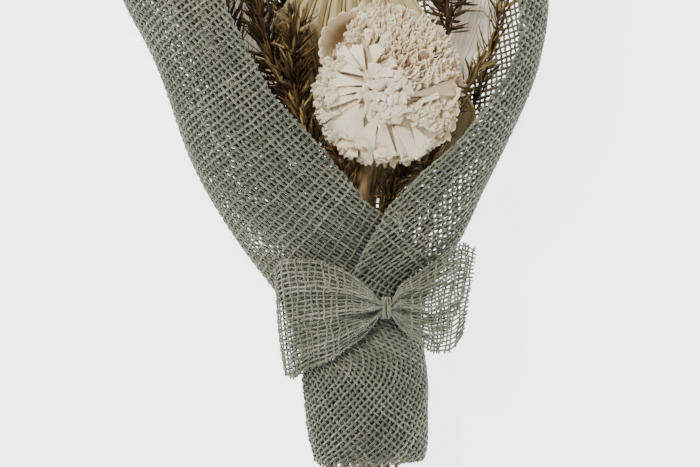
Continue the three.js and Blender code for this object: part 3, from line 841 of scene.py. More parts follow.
def thread_shade(i, n):
    g = np.random.default_rng(31000 + i)
    return np.clip(0.62 + 0.2 * g.standard_normal() + 0.12 * wobble(np.arange(n) * 1.0, 32000 + i, 30), 0, 1)


# stations at even spacing along x for the crossing threads
kk = np.linspace(0, 16, 1601)
mid = bow_point(kk, np.full(1601, 0.5), np.ones(1601))
arc = np.concatenate([[0], np.cumsum(np.linalg.norm(np.diff(mid, axis=0), axis=1))])
CROSS = 3.7
for i in range(N_LONG):
    t0 = (i + 0.6) / (N_LONG + 0.2)
    par = (-1) ** i
    # front layer, right cut edge to left fold
    s_ = np.arange(arc[-1] + (0.3 + rng.random() * 0.9), -0.01, -CROSS / 4)
    k1 = np.interp(s_, arc, kk)
    beyond = np.maximum(s_ - arc[-1], 0)
    t1 = t0 + 0.007 * wobble(s_, 100 + i, 22)
    P1 = bow_point(k1, t1, np.ones_like(k1))
    out_dir = unit(bow_point(np.array([16.0]), np.array([t0]), np.ones(1)) - bow_point(np.array([15.6]), np.array([t0]), np.ones(1)))
    P1 = P1 + out_dir * beyond[:, None]
    P1[:, 2] += 0.36 * par * np.cos(np.pi * s_ / CROSS)
    # round the left fold, then back inside to the knot
    a = np.linspace(0, np.pi, 7)[1:-1]
    f, bck = bow_point(np.zeros(1), np.array([t0]), np.ones(1))[0], bow_point(np.zeros(1), np.array([t0]), np.array([0.12]))[0]
    c = (f + bck) / 2
    h = (f[2] - bck[2]) / 2
    bend = np.stack([c[0] - (h * 0.75 + 0.4) * np.sin(a), np.full_like(a, c[1]), c[2] + h * np.cos(a)], -1)
    s2 = np.arange(0.6, np.interp(7.6, kk, arc), CROSS / 3)
    k2 = np.interp(s2, arc, kk)
    P2 = bow_point(k2, np.clip(t0 + 0.5 / N_LONG * smooth(s2 / 5), 0, 0.99) + 0.01 * wobble(s2, 900 + i, 18), np.full_like(k2, 0.12))
    P2[:, 2] += 0.34 * par * np.cos(np.pi * s2 / CROSS)
    P = np.concatenate([P1, bend, P2])
    bow_len += np.linalg.norm(np.diff(P, axis=0), axis=1).sum()
    nr = np.concatenate([np.broadcast_to([0, 0, 1.0], P1.shape), np.stack([-np.sin(a), 0 * a, np.cos(a)], -1), np.broadcast_to([0, 0, -1.0], P2.shape)])
    rad = 0.56 * (1 + 0.12 * wobble(np.arange(len(P)) * 1.0, 40 + i, 9)) * (1 + 0.06 * rng.standard_normal())
    bow_t.add(P, nr, rad, rad * 0.9, thread_shade(i, len(P)))
    # the right wing's second layer, shorter
    s3 = np.arange(np.interp(9.4, kk, arc), np.interp(13.6 + 2.1 * min(1.0, 2.2 * t0), kk, arc) + rng.random() * 0.6, CROSS / 3)
    k3 = np.interp(s3, arc, kk)
    P3 = bow_point(k3, t0 * 0.92 + 0.04 + 0.01 * wobble(s3, 1900 + i, 18), np.full_like(k3, 0.1))
    P3[:, 2] += 0.34 * par * np.cos(np.pi * s3 / CROSS)
    bow_len += np.linalg.norm(np.diff(P3, axis=0), axis=1).sum()
    bow_t.add(P3, np.array([0, 0, 1.0]), 0.5, 0.46, thread_shade(500 + i, len(P3)))
for layer, lo_s, hi_s in ((1.0, 0.0, arc[-1]), (0.12, 0.0, np.interp(7.2, kk, arc)), (0.1, np.interp(9.8, kk, arc), np.interp(15.6, kk, arc))):
    for j in range(int(lo_s / CROSS), int(hi_s / CROSS) + 1):
        s_ = (j + 0.5 * (layer < 1)) * CROSS + 0.25 * rng.standard_normal()
        k0 = float(np.interp(s_, arc, kk))
        if s_ < lo_s or s_ > hi_s or abs(k0 - KN) < 1.0:
            continue
        t = np.linspace(-0.03 - 0.02 * rng.random() if layer == 1 else 0.0, 1.03, N_LONG * 3 + 1)
        tt = np.clip(t, 0, 1)
        if layer == 0.1 and k0 > 13.6:
            t = t[t > (k0 - 13.6) / 4.62]
            tt = np.clip(t, 0, 1)
            if len(t) < 8:
                continue
        kw = k0 + 0.05 * wobble(t * 40, 700 + j, 20) * 2
        P = bow_point(kw, tt, np.full_like(tt, layer))
        P[:, 2] -= 0.36 * (-1) ** j * np.cos(np.pi * (t * (N_LONG + 0.2) - 0.6))
        bow_len += np.linalg.norm(np.diff(P, axis=0), axis=1).sum()
        rad = 0.54 * (1 + 0.12 * wobble(t * 60, 80 + j, 9))
        bow_t.add(P, np.array([0, 0, 1.0]), rad, rad * 0.9, thread_shade(900 + j + int(layer * 100), len(P)))
for q, a in enumerate((0.1 * np.pi, 0.3 * np.pi, 0.5 * np.pi, 0.7 * np.pi, 0.9 * np.pi)):
    t = np.linspace(0.0, 1.0, N_LONG * 3 + 1)
    f, bck = bow_point(np.zeros(len(t)), t, np.ones(len(t))), bow_point(np.zeros(len(t)), t, np.full(len(t), 0.12))
    c, h = (f + bck) / 2, (f[:, 2] - bck[:, 2]) / 2
    P = np.stack([c[:, 0] - (h * 0.75 + 0.4) * np.sin(a), c[:, 1], c[:, 2] + h * np.cos(a)], -1)
    wv = 0.34 * (-1) ** q * np.cos(np.pi * (t * (N_LONG + 0.2) - 0.6))
    P[:, 0] += wv * np.sin(a)
    P[:, 2] -= wv * np.cos(a)
    bow_len += np.linalg.norm(np.diff(P, axis=0), axis=1).sum()
    bow_t.add(P, np.array([-np.sin(a), 0, np.cos(a)]), 0.47, 0.42, thread_shade(1300 + q, len(P)))
bow = piece(bow_t.make("bow_mesh"), "mesh_bow", "mesh", MESH_MAT)

# the strands wound round the middle of the bow, ends tucked behind
tie = Tubes(6)
for i in range(5):
    n = 44
    a = np.linspace(0, 2 * np.pi, n)
    p = 0.66
    c, s = np.sign(np.cos(a)) * np.abs(np.cos(a)) ** p, np.sign(np.sin(a)) * np.abs(np.sin(a)) ** p
    x = 17.9 + (i - 2) * 0.82 + 0.5 * np.sin(a + i * 1.7) + 0.15 * wobble(a * 10, i, 20)
    r = 0.25 * (i % 2)
    P = np.stack([x, TIE_Y - 0.2 + (5.0 + r) * c, 52.1 + (3.3 + r) * s], -1)
    tie.add(P, np.stack([0 * a, np.cos(a), np.sin(a)], -1), 0.48, 0.46, np.clip(0.5 + 0.25 * wobble(a * 20, 77 + i, 30), 0, 1))
piece(tie.make("tie_strands"), "bow_tie", "tie_thread", TIE_MAT)

# the string round the stems inside the waist
bind = Tubes(6)
a = np.linspace(0, 2 * np.pi * 4.1, 260)
P = np.stack([7.5 + (22.2 + 0.25 * np.sin(a * 0.31)) * np.cos(a), -53.0 + 6.0 * a / a[-1] + 0.3 * np.sin(a * 1.7), 21.2 + (15.9 + 0.25 * np.sin(a * 0.31)) * np.sin(a)], -1)
bind.add(P, np.stack([np.cos(a), 0 * a, np.sin(a)], -1), 0.75, 0.7, np.clip(0.5 + 0.3 * wobble(a * 9, 5, 20), 0, 1))
piece(bind.make("binding_string"), "stem_binding", "twine", TWINE_MAT)

# ------------------------------------------------------------------ stems
def wood_stem(name, node, path, r0, r1, seed, slot="wood"):
    n = 150
    c = spline(path, n)
    t = unit(np.gradient(c, axis=0))
    side = unit(np.cross(t, np.broadcast_to([0, 0, 1.0], t.shape)))
    up = np.cross(side, t)
    k = 40
    a = 2 * np.pi * np.arange(k) / k
    g = np.random.default_rng(seed)
    s = np.linspace(0, 1, n)[:, None]
    r = r0 + (r1 - r0) * s
    L = np.linspace(0, np.linalg.norm(np.diff(c, axis=0), axis=1).sum(), n)[:, None]
    groove = np.zeros((n, k))
    for q in range(9):
        f = int(g.integers(3, 15))
        groove += g.random() * np.sin(f * a[None] + g.random() * 6.28 + 0.015 * L * g.standard_normal() + 0.4 * np.sin(L * 0.05 + q))
    groove /= 3.0
    knot = 0.28 * np.exp(-((L - 96) / 3.5) ** 2) + 0.22 * np.exp(-((L - 158) / 4) ** 2)
    rr = r * (1 + 0.075 * groove + knot)
    rr[-1] *= 0.9
    rings = c[:, None] + side[:, None] * (rr * np.cos(a))[..., None] + up[:, None] * (rr * np.sin(a))[..., None]
    p = Parts()
    tone = np.clip(0.3 + 0.1 * wobble(L[:, 0], seed, 40), 0, 1)
    tone[:2] = 1.0  # the cut end is darker
    p.loft(rings, tone)
    return piece(p.make(name), node, slot, WOOD_MAT)


wood_stem("woody_stem", "flower_stem", [[8.5, -140, 26], [7.5, -100, 29], [6.2, -50, 31], [5.8, -10, 38], [6.2, 20, 46], [11, 46, 50.5], [16.0, 62, 53.2]], 4.1, 3.2, 3)

# ------------------------------------------------------------------ palm spears: pleated leaves
def palm(name, node, stalk, blade, across, pleats, half, thick, slot, mat, amp, seed, droop=2.5, band=None, calm=2.0, crease=0.055):
    g = np.random.default_rng(seed)
    st = spline(stalk, 50)
    bl = np.array(blade, float)
    nb = 90
    dist_y = np.concatenate([[0], np.cumsum(np.linalg.norm(np.diff(bl[:, :2], axis=0), axis=1))])
    key = np.linspace(0, dist_y[-1], nb)
    B = np.stack([np.interp(key, dist_y, bl[:, c]) for c in range(5)], -1)
    # soften the outline's corners a little
    for _ in range(1):
        B[1:-1] = 0.25 * B[:-2] + 0.5 * B[1:-1] + 0.25 * B[2:]
    per = 26
    n = pleats * per + 1
    f = np.linspace(0, 1, n)
    base = B[0, :3]
    d = unit(np.array([across[0], across[1], 0.0]))
    P = np.zeros((nb, n, 3))
    ff = (f * pleats) % 1.0
    saw = np.where(ff < 0.74, np.abs(ff / 0.74 - 0.5) * 0.9 + 0.2, 1 - 0.65 * np.sin(np.pi * (ff - 0.74) / 0.26))
    saw = np.where((ff < 0.03) | (ff > 0.97) | (np.abs(ff - 0.74) < 0.03), 1.0, saw)   # 1 on each crease, lower on the broad facet
    ph = g.standard_normal(pleats + 1) * 0.12
    for i in range(nb):
        x, y, z, lx, rx = B[i]
        w = lx + rx
        q = -lx + w * f
        grow = min(1.0, w / 34.0)
        zz = z + amp * grow * (0.5 - saw) * (1 - 0.8 * smooth((f - calm) / 0.08)) + (-droop) * (2 * f - 1) ** 2 * min(1, w / 60)
        zz = zz + 0.35 * grow * np.interp(f * pleats, np.arange(pleats + 1), ph) * 4
        P[i] = np.stack([x + d[0] * q, y + d[1] * q, zz], -1)
        # the whole blade waves a little in height
    edge_t = np.linspace(0, 1, nb)[:, None]
    P[..., 2] += 0.5 * np.sin(edge_t * 5 + f[None] * 4)
    # facets keep one tone each; a dark line is painted in each crease as painted shade, with a painted highlight on the
    # light edge beside it
    facet = 0.42 + 0.16 * np.interp(f * pleats * 2, np.arange(2 * pleats + 1), g.standard_normal(2 * pleats + 1))
    line = facet + 0.5 * np.exp(-((ff - 0.10) / 0.035) ** 2) + 0.5 * np.exp(-((ff - 0.68) / 0.03) ** 2)
    line = np.where((ff < crease) | (ff > 0.975), 0.0, line)
    line = np.where(np.abs(ff - 0.75) < 0.03, 0.04, line)
    tone = np.clip(np.broadcast_to(line, (nb, n)) + 0.08 * np.sin(edge_t * 9 + f[None] * 31), 0, 1).copy()
    tone[:, ((ff < crease) | (ff > 0.975)) & (f > 0.02) & (f < 0.98)] = 0.0
    tone[:, (f <= 0.02) | (f >= 0.98)] = 0.5
    if band is not None:
        lo_b, hi_b, val = band
        m = smooth((f - lo_b) / 0.02) * smooth((hi_b - f) / 0.02)
        tone = tone * (1 - m)[None] + val * m[None]
    ps = Parts()
    ps.shell(P, thick, tone)
    o_v = np.concatenate(ps.v)
    # the flat stalk, running into the blade's base
    t = unit(np.gradient(st, axis=0))
    side = unit(np.cross(t, np.broadcast_to([0, 0, 1.0], t.shape)))
    up = np.cross(side, t)
    k = 14
    a = 2 * np.pi * np.arange(k) / k
    tip = np.linspace(0, 1, 50)[:, None]
    rw = half * (1 + 0.05 * np.sin(tip * 30))
    rings = st[:, None] + side[:, None] * (rw * np.cos(a))[..., None] + up[:, None] * (rw * 0.5 * np.sin(a) + 0.12 * half * np.cos(2 * a))[..., None]
    last = rings[-1]
    bridge = []
    for e in np.linspace(0.15, 1, 7):
        ring = last * (1 - e) + e * (base + (last - st[-1]) * np.array([1.6, 1.6, 0.55]))
        bridge.append(ring)
    ps.loft(np.concatenate([rings, np.array(bridge)]), 0.55)
    V, Q, R = np.concatenate(ps.v), np.concatenate(ps.q), np.concatenate(ps.r)
    # UV: x along the leaf, y across it, in metres
    axis = unit(np.array([B[-1, 0] - base[0], B[-1, 1] - base[1], 0.0]))
    rel = V - base
    dist = np.linalg.norm(rel[:, :2], axis=1) + 1e-3
    ang = np.arctan2(rel @ np.array([-axis[1], axis[0], 0]), rel @ axis)
    uvv = np.stack([dist / 1000, ang * 0.09], -1)
    uv = uvv[Q].reshape(-1, 2)
    o = build(name, V, Q, uv=uv, rnd=R)
    return piece(o, node, slot, mat)


palm("palm_spear_leaf", "palm_spear", [[13, -130, 17], [12, -95, 19], [11, -50, 20.5], [10, -20, 29], [9.6, 8, 37]],
     [[9.4, 20, 40.3, 5, 12], [9.2, 31, 41.6, 12, 29], [9.0, 42, 43, 21, 43.5], [8.2, 60, 45, 33, 55.5], [7.6, 67, 45.8, 38, 54.5], [6.8, 75, 46.5, 41, 48], [6.0, 84, 47.5, 42, 45],
      [4.4, 103, 49.5, 43.5, 39.5], [3.2, 116, 51.5, 34, 31], [1.8, 132, 53.5, 21, 21], [0.6, 146, 55.5, 10.5, 10.5], [0, 157, 57, 1.2, 1.2]],
     [1, -0.04], 9, 3.0, 0.5, "palm", PALM_MAT, 4.2, 5, droop=1.0, calm=0.76)
palm("white_palm_leaf_left", "white_palm_left", [[-11, -127, 12.4], [-6, -95, 11.8], [0, -50, 12], [-10, -15, 15], [-28, 20, 18]],
     [[-36, 36, 19, 4, 4], [-52, 70, 22, 14, 14], [-64, 98, 27, 16, 29], [-72, 122, 30.5, 20, 35], [-79, 146, 34, 20, 25], [-86, 174, 39, 19, 18], [-94, 206, 46, 10, 10], [-100, 234, 52, 1.2, 1.2]],
     [0.93, 0.3], 8, 2.5, 0.5, "white_palm", WHITE_MAT, 2.8, 6, crease=0.09)
palm("white_palm_leaf_right", "white_palm_right", [[19, -128, 12], [16, -95, 11.5], [13, -50, 12], [19, -15, 15], [30, 20, 18]],
     [[36, 40, 19.2, 3, 3], [45, 72, 21.5, 10, 10], [52, 92, 23.5, 12, 14], [57, 112, 26, 17, 19], [61, 134, 29, 23, 22], [66, 160, 34, 20, 19], [72, 194, 40, 11, 10], [77, 226, 46, 1.2, 1.2]],
     [0.97, -0.2], 10, 2.5, 0.5, "white_palm", WHITE_MAT, 3.4, 7, band=(0.77, 1.0, 0.9), calm=0.77, crease=0.13)

# ------------------------------------------------------------------ brown needle-leaved sprigs
def sprig(node, path, girth, start, count, seed, r_stalk=1.15, length=(12.5, 20.5), spread=(18, 68), tone=0.5, inside_count=170, flat=0.8, leaf=1.0):
    g = np.random.default_rng(seed)
    n = 120
    c = spline(path, n)
    t = unit(np.gradient(c, axis=0))
    ref = unit(np.cross(t, np.broadcast_to([0, 0, 1.0], t.shape)))
    up = np.cross(ref, t)
    s = np.linspace(0, 1, n)
    r = r_stalk * (1 - 0.65 * np.clip((s - start) / (1 - start), 0, 1)) * (1 + 0.08 * wobble(s * 100, seed, 7))
    k = 8
    a = 2 * np.pi * np.arange(k) / k
    rings = c[:, None] + ref[:, None] * (r[:, None] * np.cos(a))[..., None] + up[:, None] * (r[:, None] * np.sin(a))[..., None]
    p = Parts()
    p.loft(rings, np.clip(0.34 + 0.2 * wobble(s * 100, seed + 1, 12), 0, 1))
    # needles
    m0, m1 = int(count * 1.9), inside_count
    m = m0 + m1
    at = np.concatenate([0.03 + (start - 0.03) * np.sort(g.random(m1)), start + (1 - start) * np.sort(g.random(m0)) ** 0.92 * 0.985])
    hug = np.concatenate([np.ones(m1), np.zeros(m0)])
    az = np.arange(m) * 2.39996 + g.standard_normal(m) * 0.35
    base = np.stack([np.interp(at, s, c[:, q]) for q in range(3)], -1)
    T = unit(np.stack([np.interp(at, s, t[:, q]) for q in range(3)], -1))
    R = unit(np.stack([np.interp(at, s, ref[:, q]) for q in range(3)], -1))
    U = np.cross(R, T)
    env = np.sin(np.pi * np.clip((at - start) / (1 - start) * 0.9 + 0.08, 0, 1)) ** 0.45
    ln = (length[0] + (length[1] - length[0]) * g.random(m)) * (0.78 + 0.22 * env) * (girth / 7.5) ** 0.5
    sp = np.radians(spread[0] + (spread[1] - spread[0]) * g.random(m)) * (1 - 0.5 * hug)
    rad = R * np.cos(az)[:, None] + U * np.sin(az)[:, None] * flat
    curl = g.standard_normal(m) * 0.3 - 0.24
    segs = 8
    e = np.linspace(0, 1, segs)
    theta = sp[:, None] + curl[:, None] * e[None] * 2.0
    step = ln[:, None] / (segs - 1)
    dl = T[:, None] * np.cos(theta)[..., None] + rad[:, None] * np.sin(theta)[..., None]
    pos = base[:, None] + np.concatenate([np.zeros((m, 1, 3)), np.cumsum(dl[:, :-1] * step[..., None], axis=1)], 1)
    pos[..., 2] += (g.standard_normal(m) * 0.6)[:, None] * e[None] ** 2 * 2
    tan = unit(np.gradient(pos, axis=1))
    wide = unit(np.cross(tan, rad[:, None] + 1e-4))
    roll = g.standard_normal(m)[:, None, None] * 0.7
    thin = np.cross(wide, tan)
    wide, thin = wide * np.cos(roll) + thin * np.sin(roll), thin * np.cos(roll) - wide * np.sin(roll)
    w = leaf * (0.72 + 0.42 * g.random(m))[:, None] * (np.sin(np.pi * np.clip(e * 0.86 + 0.1, 0, 1)) ** 0.8)[None]
    w[:, -1] = 0.05
    w[:, 0] = 0.28
    th = 0.26 * w + 0.05
    # a shallow V section with a centre ridge
    ringN = np.stack([pos + wide * w[..., None] + thin * (th * 0.5)[..., None], pos + thin * (-th)[..., None], pos - wide * w[..., None] + thin * (th * 0.5)[..., None], pos + thin * (th * 0.25)[..., None]], 2)
    V = ringN.reshape(-1, 3)
    kk_ = 4
    bidx = (np.arange(m) * segs * kk_)[:, None, None]
    i = (np.arange(segs - 1) * kk_)[None, :, None]
    j, j2 = np.arange(kk_)[None, None, :], ((np.arange(kk_) + 1) % kk_)[None, None, :]
    Q = np.stack([bidx + i + j, bidx + i + kk_ + j, bidx + i + kk_ + j2, bidx + i + j2], -1).reshape(-1, 4)
    b0 = np.arange(m) * segs * kk_
    caps = np.concatenate([np.stack([b0 + 0, b0 + 1, b0 + 2, b0 + 3], -1), np.stack([b0 + (segs - 1) * kk_ + x for x in (3, 2, 1, 0)], -1)])
    # painted shade: needles inside the wrap are made darker; the tone also rises a little towards each tip
    rn = np.clip(tone - 0.25 * hug + 0.28 * g.standard_normal(m), 0, 1)[:, None] + 0.16 * e[None]
    p.v.append(V); p.q.append(np.concatenate([Q, caps]) + p.n); p.r.append(np.clip(rn, 0, 1).repeat(kk_, axis=1).ravel()); p.n += len(V)
    return piece(p.make(node + "_needles"), node, "needles", NEEDLE_MAT)


sprig("sprig_left_long", [[-8, -124, 29], [-6.5, -85, 28.5], [-5.5, -50, 28], [-13, -10, 38], [-21, 35, 47], [-33, 72, 54.5], [-43, 100, 60], [-50, 126, 66], [-57, 160, 75], [-62, 196, 82]], 8.2, 0.40, 350, 11, tone=0.42, spread=(18, 76))
sprig("sprig_left_inner", [[-3.5, -126, 22.5], [-3, -85, 22.5], [-2, -50, 22], [-8, -8, 37], [-16, 30, 55], [-25.8, 62, 61], [-28, 88, 65], [-26, 106, 69]], 6.6, 0.42, 320, 12, tone=0.45)
sprig("sprig_left_low", [[-11.5, -119, 22], [-11, -85, 21.5], [-9.5, -50, 21], [-21, -8, 30], [-36, 36, 41], [-51, 70, 50], [-61, 100, 56], [-68, 128, 60], [-75, 168, 66]], 7.6, 0.30, 430, 13, tone=0.33, spread=(18, 80), inside_count=260)
sprig("sprig_left_back", [[-8.5, -122, 15.5], [-8, -85, 15.5], [-7.5, -50, 15.6], [-24, -10, 22.8], [-46, 34, 32], [-67, 74, 42], [-80, 108, 49], [-92, 150, 57], [-101, 186, 63], [-106, 212, 67]], 7.2, 0.27, 350, 14, tone=0.3, inside_count=260)
sprig("sprig_right_long", [[23.5, -121, 18], [23, -85, 18], [22, -50, 17.5], [33, -12, 22.5], [49, 30, 28.5], [62, 64, 34.5], [71, 92, 42.5], [76, 118, 49], [80, 160, 57], [81, 190, 63]], 7.4, 0.55, 105, 15, 1.0, (12, 19), (16, 60), tone=0.72, flat=0.5, inside_count=240, leaf=0.72)
sprig("sprig_right_low", [[17.5, -124, 25], [17.5, -85, 25.5], [18.5, -50, 25.5], [25, -12, 33], [33, 18, 41], [42, 42, 45], [51.5, 60, 48], [60, 77, 51.5], [65.5, 87, 54]], 5.6, 0.74, 70, 16, 0.95, (11, 19), (10, 52), tone=0.78, inside_count=120, flat=0.5, leaf=0.68)
sprig("sprig_top_right", [[19, -119, 19.6], [19, -85, 19.6], [17.6, -50, 18.9], [25, -12, 24], [36, 30, 29.5], [45, 74, 34], [49, 100, 37.5], [48, 128, 42], [44, 172, 51], [40, 208, 60]], 6.8, 0.672, 200, 17, tone=0.2, spread=(34, 108), length=(13, 22), inside_count=60, leaf=0.9)
sprig("sprig_under_flower", [[14.5, -123, 31.5], [14, -85, 32], [13.5, -50, 31.3], [15.5, -10, 42], [18.5, 14, 50], [24, 28, 53], [32, 37, 54.5]], 4.6, 0.42, 200, 18, 1.1, (10, 18), (10, 74), 0.42)
sprig("sprig_by_stem", [[-1.5, -121, 33], [-1.5, -85, 33], [-0.8, -50, 32], [-1.5, -10, 44], [-2.5, 14, 50], [-3.5, 30, 52.5], [-6, 44, 53.5]], 4.6, 0.44, 200, 19, 1.1, (11, 19), (12, 72), 0.42)
sprig("sprig_back_middle", [[6.8, -121, 9.5], [6.6, -85, 9.3], [6.6, -50, 9.6], [3, -10, 16], [-5, 40, 22], [-24, 88, 29], [-33, 118, 36], [-34, 150, 42], [-33, 190, 50], [-32, 228, 60]], 6.6, 0.5, 240, 20, tone=0.2, spread=(20, 86), length=(14, 23))

# ------------------------------------------------------------------ the flower
# Petals are laid out on a fine grid over the head (GRID mm a step, the head's middle at 788, 789, second number downwards).
GRID = 0.0551
HEAD_R = 37.5
head_parts = {}
for i in range(8):
    head_parts["outer_petal_%d" % (i + 1)] = Parts()
for i in range(6):
    head_parts["middle_petal_%d" % (i + 1)] = Parts()
for i in range(5):
    head_parts["inner_petal_%d" % (i + 1)] = Parts()
core = Parts()
frng = np.random.default_rng(77)


def at(cx, cy):
    return np.array([HEAD[0] + (cx - 788) * GRID, HEAD[1] + (789 - cy) * GRID])


def dome(r):
    q = np.clip(np.asarray(r, float) / HEAD_R, 0, 0.999)
    return 65.5 + 26.5 * (1 - q * q) ** 0.72


def owner(x, y, r_out=24.0, r_in=11.5):
    dx, dy = x - HEAD[0], y - HEAD[1]
    r, a = math.hypot(dx, dy), math.degrees(math.atan2(dy, dx)) % 360
    if r > r_out:
        return head_parts["outer_petal_%d" % (int(((a - 22.5) % 360) // 45) + 1)]
    if r > r_in:
        return head_parts["middle_petal_%d" % (int(((a - 10) % 360) // 60) + 1)]
    return head_parts["inner_petal_%d" % (int(((a - 40) % 360) // 72) + 1)]


def tri_wave(x):
    return 1 - 2 * np.abs((x % 1.0) * 2 - 1)


def fan(root, ang, half, L, z0, z1, to=None, tilt=0.0, cup=0.0, ruf=0.0, rn=5, teeth=0.0, tn=5, curl=0.0, inner=0.06, tone=(0.3, 0.85), thick=0.5, rnd_edge=0.1, arch=0.0, tipw=4.0, sharp=False, tpow=0.7):
    """one wedge-shaped petal from its root (x, y), pointing at ang, ruffled towards its outer edge"""
    g = frng
    x0, y0 = root
    wide = 2 * np.radians(half) * L
    nu = int(np.clip(wide * 2.6, 14, 90))
    nv = int(np.clip(L * 1.0, 10, 26))
    u, v = np.linspace(-1, 1, nu), np.linspace(0, 1, nv) ** 0.85
    U, V = np.meshgrid(u, v, indexing="ij")
    ph, ph2 = g.random() * 6.28, g.random()
    tooth = tri_wave(U * tn / 2 + ph2) if sharp else np.abs(np.cos(np.pi * (U * tn / 2 + ph2))) * 2 - 1
    jag = np.interp(u, np.linspace(-1, 1, max(nu // 3, 5)), g.standard_normal(max(nu // 3, 5)))[:, None]
    edge = 1 - rnd_edge * U ** 2 + (teeth * tooth + 0.28 * min(ruf + teeth, 1.0) * jag) / L
    r = L * (inner + (edge - inner) * V)
    W = np.clip(r / L, 0, 1.12)
    w = V ** tipw
    wav = np.pi * rn * U + ph + 0.8 * np.sin(2.3 * U + ph2 * 9)
    a = np.radians(ang) + np.radians(half) * U + 0.45 * ruf * w * np.sin(2 * wav) / np.maximum(r, 1)
    z = z0 + (z1 - z0) * W + tilt * U * (0.25 + 0.75 * W) + cup * U ** 2 * W + curl * W ** 4 + arch * np.sin(np.pi * np.clip(W, 0, 1))
    z = z + ruf * w * (np.cos(wav) + 0.35 * np.cos(2.7 * wav + 1))
    P = np.stack([x0 + r * np.cos(a), y0 + r * np.sin(a), z], -1)
    # painted shade and light: the tone is darker at the root, in the ruffles' troughs and at the side edges where
    # petals overlap, and lighter on the crests and towards the tip
    T = tone[0] + (tone[1] - tone[0]) * np.clip(V * (1.25 if tpow < 1 else 1.0), 0, 1) ** tpow + 0.10 * w * np.cos(wav) - 0.10 * np.abs(U) ** 6
    T = np.clip(T + 0.06 * g.standard_normal(), 0.09, 1)
    mx, my = x0 + 0.62 * L * math.cos(math.radians(ang)), y0 + 0.62 * L * math.sin(math.radians(ang))
    (to or owner(mx, my)).shell(P, thick * (1 - 0.35 * V), T)


def flake(c, d, w, H, W, bend, curve, tone, to=None, jag=0.25, thick=0.5):
    """a small ruffled scale: c its foot, d the way it grows, w across it"""
    nu, nv = 7, 5
    u, v = np.linspace(-1, 1, nu), np.linspace(0, 1, nv)
    U, V = np.meshgrid(u, v, indexing="ij")
    n = np.cross(d, w)
    top = 1 + jag * np.interp(u, np.linspace(-1, 1, 4), frng.standard_normal(4))[:, None] * V - 0.22 * U ** 2
    k = frng.random() * 6.28
    P = (c + d * (H * V * top)[..., None] + w * (0.5 * W * U * (0.55 + 0.45 * V))[..., None]
         + n * (curve * U ** 2 + bend * V ** 2 + 0.32 * V * np.sin(3.1 * U + k))[..., None])
    # painted shade: each scale is darker at its foot and lighter at its top; the lowest tones stay the rust specks
    T = np.clip(tone * (0.72 + 0.28 * V) + 0.04 * U, 0.09, 1) if tone > 0.06 else np.full_like(U, tone)
    (to or owner(c[0], c[1])).shell(P, thick, T)


# the bed under every petal, in sectors, so the head is closed; its darker tone is painted shade in the gaps between
# petals
for i in range(8):
    a = np.radians(np.linspace(22.5 + 45 * i - 0.6, 67.5 + 45 * i + 0.6, 22))[:, None]
    r = np.linspace(21.5, 33.2, 12)[None, :]
    hollow = 9.0 * smooth((r - 20) / 5) * np.exp(-((np.degrees(a) - 142) / 17.0) ** 4)
    z = dome(r) - 3.0 + 0.5 * np.sin(a * 23) * np.cos(r * 1.7) - hollow
    head_parts["outer_petal_%d" % (i + 1)].shell(np.stack([HEAD[0] + r * np.cos(a), HEAD[1] + r * np.sin(a), z + 0 * a], -1), 1.4, 0.22)
for i in range(6):
    a = np.radians(np.linspace(10 + 60 * i - 0.6, 70 + 60 * i + 0.6, 22))[:, None]
    r = np.linspace(9.5, 23.0, 12)[None, :]
    z = dome(r) - 2.8 + 0.5 * np.sin(a * 19) * np.cos(r * 1.5)
    head_parts["middle_petal_%d" % (i + 1)].shell(np.stack([HEAD[0] + r * np.cos(a), HEAD[1] + r * np.sin(a), z + 0 * a], -1), 1.4, 0.22)
for i in range(5):
    a = np.radians(np.linspace(40 + 72 * i - 0.6, 112 + 72 * i + 0.6, 16))[:, None]
    r = np.linspace(0.6, 11.5, 9)[None, :]
    z = dome(r) - 2.6 + 0 * a
    head_parts["inner_petal_%d" % (i + 1)].shell(np.stack([HEAD[0] + r * np.cos(a), HEAD[1] + r * np.sin(a), z], -1), 1.4, 0.25)

# three rings of ruffled petals make the rim and the sides
for ring, (count, L0, z0, z1, turn, ruf, teeth) in enumerate([(20, 36.8, 60.5, 63.5, 0.0, 1.2, 0.8), (21, 36.0, 63.5, 67.5, 4.0, 1.5, 0.7), (22, 34.2, 67.0, 71.0, 9.0, 1.6, 0.6)]):
    for j in range(count):
        ang = turn + 360 / count * (j + 0.25 * frng.standard_normal() * 0.5)
        low = abs((ang - 268 + 180) % 360 - 180) < 26
        lo_l = abs((ang - 205 + 180) % 360 - 180) < 38
        if ring > 0 and 118 < ang % 360 < 164:
            continue   # the deep cupped petal sits here
        if ring == 2 and 168 < ang % 360 < 348:
            continue   # broader petals of their own lie here
        L = L0 + 1.0 * frng.random() + (0.8 if low and ring == 0 else 0) + (0.9 if lo_l and ring < 2 else 0)
        L -= 3.4 * math.exp(-((((ang - 345 + 180) % 360) - 180) / 42.0) ** 2) + 2.2 * math.exp(-((((ang - 172 + 180) % 360) - 180) / 22.0) ** 2)
        to = owner(HEAD[0] + 30 * math.cos(math.radians(ang)), HEAD[1] + 30 * math.sin(math.radians(ang)))
        fan(HEAD, ang, 360 / count * 0.66, L, z0 - 1.5, z1 + 1.2 * frng.standard_normal() * 0.5, to, tilt=0.9 * (-1) ** j, ruf=ruf * (0.45 if low and ring == 0 else 1), rn=2.4 if not low else 1.6,
            teeth=2.4 if (low and ring == 0) else teeth, tn=3 if low else 3.5, curl=0.8 + 0.8 * frng.random(), inner=0.24, tone=(0.12, 0.62 + 0.1 * ring), sharp=low, rnd_edge=0.04)

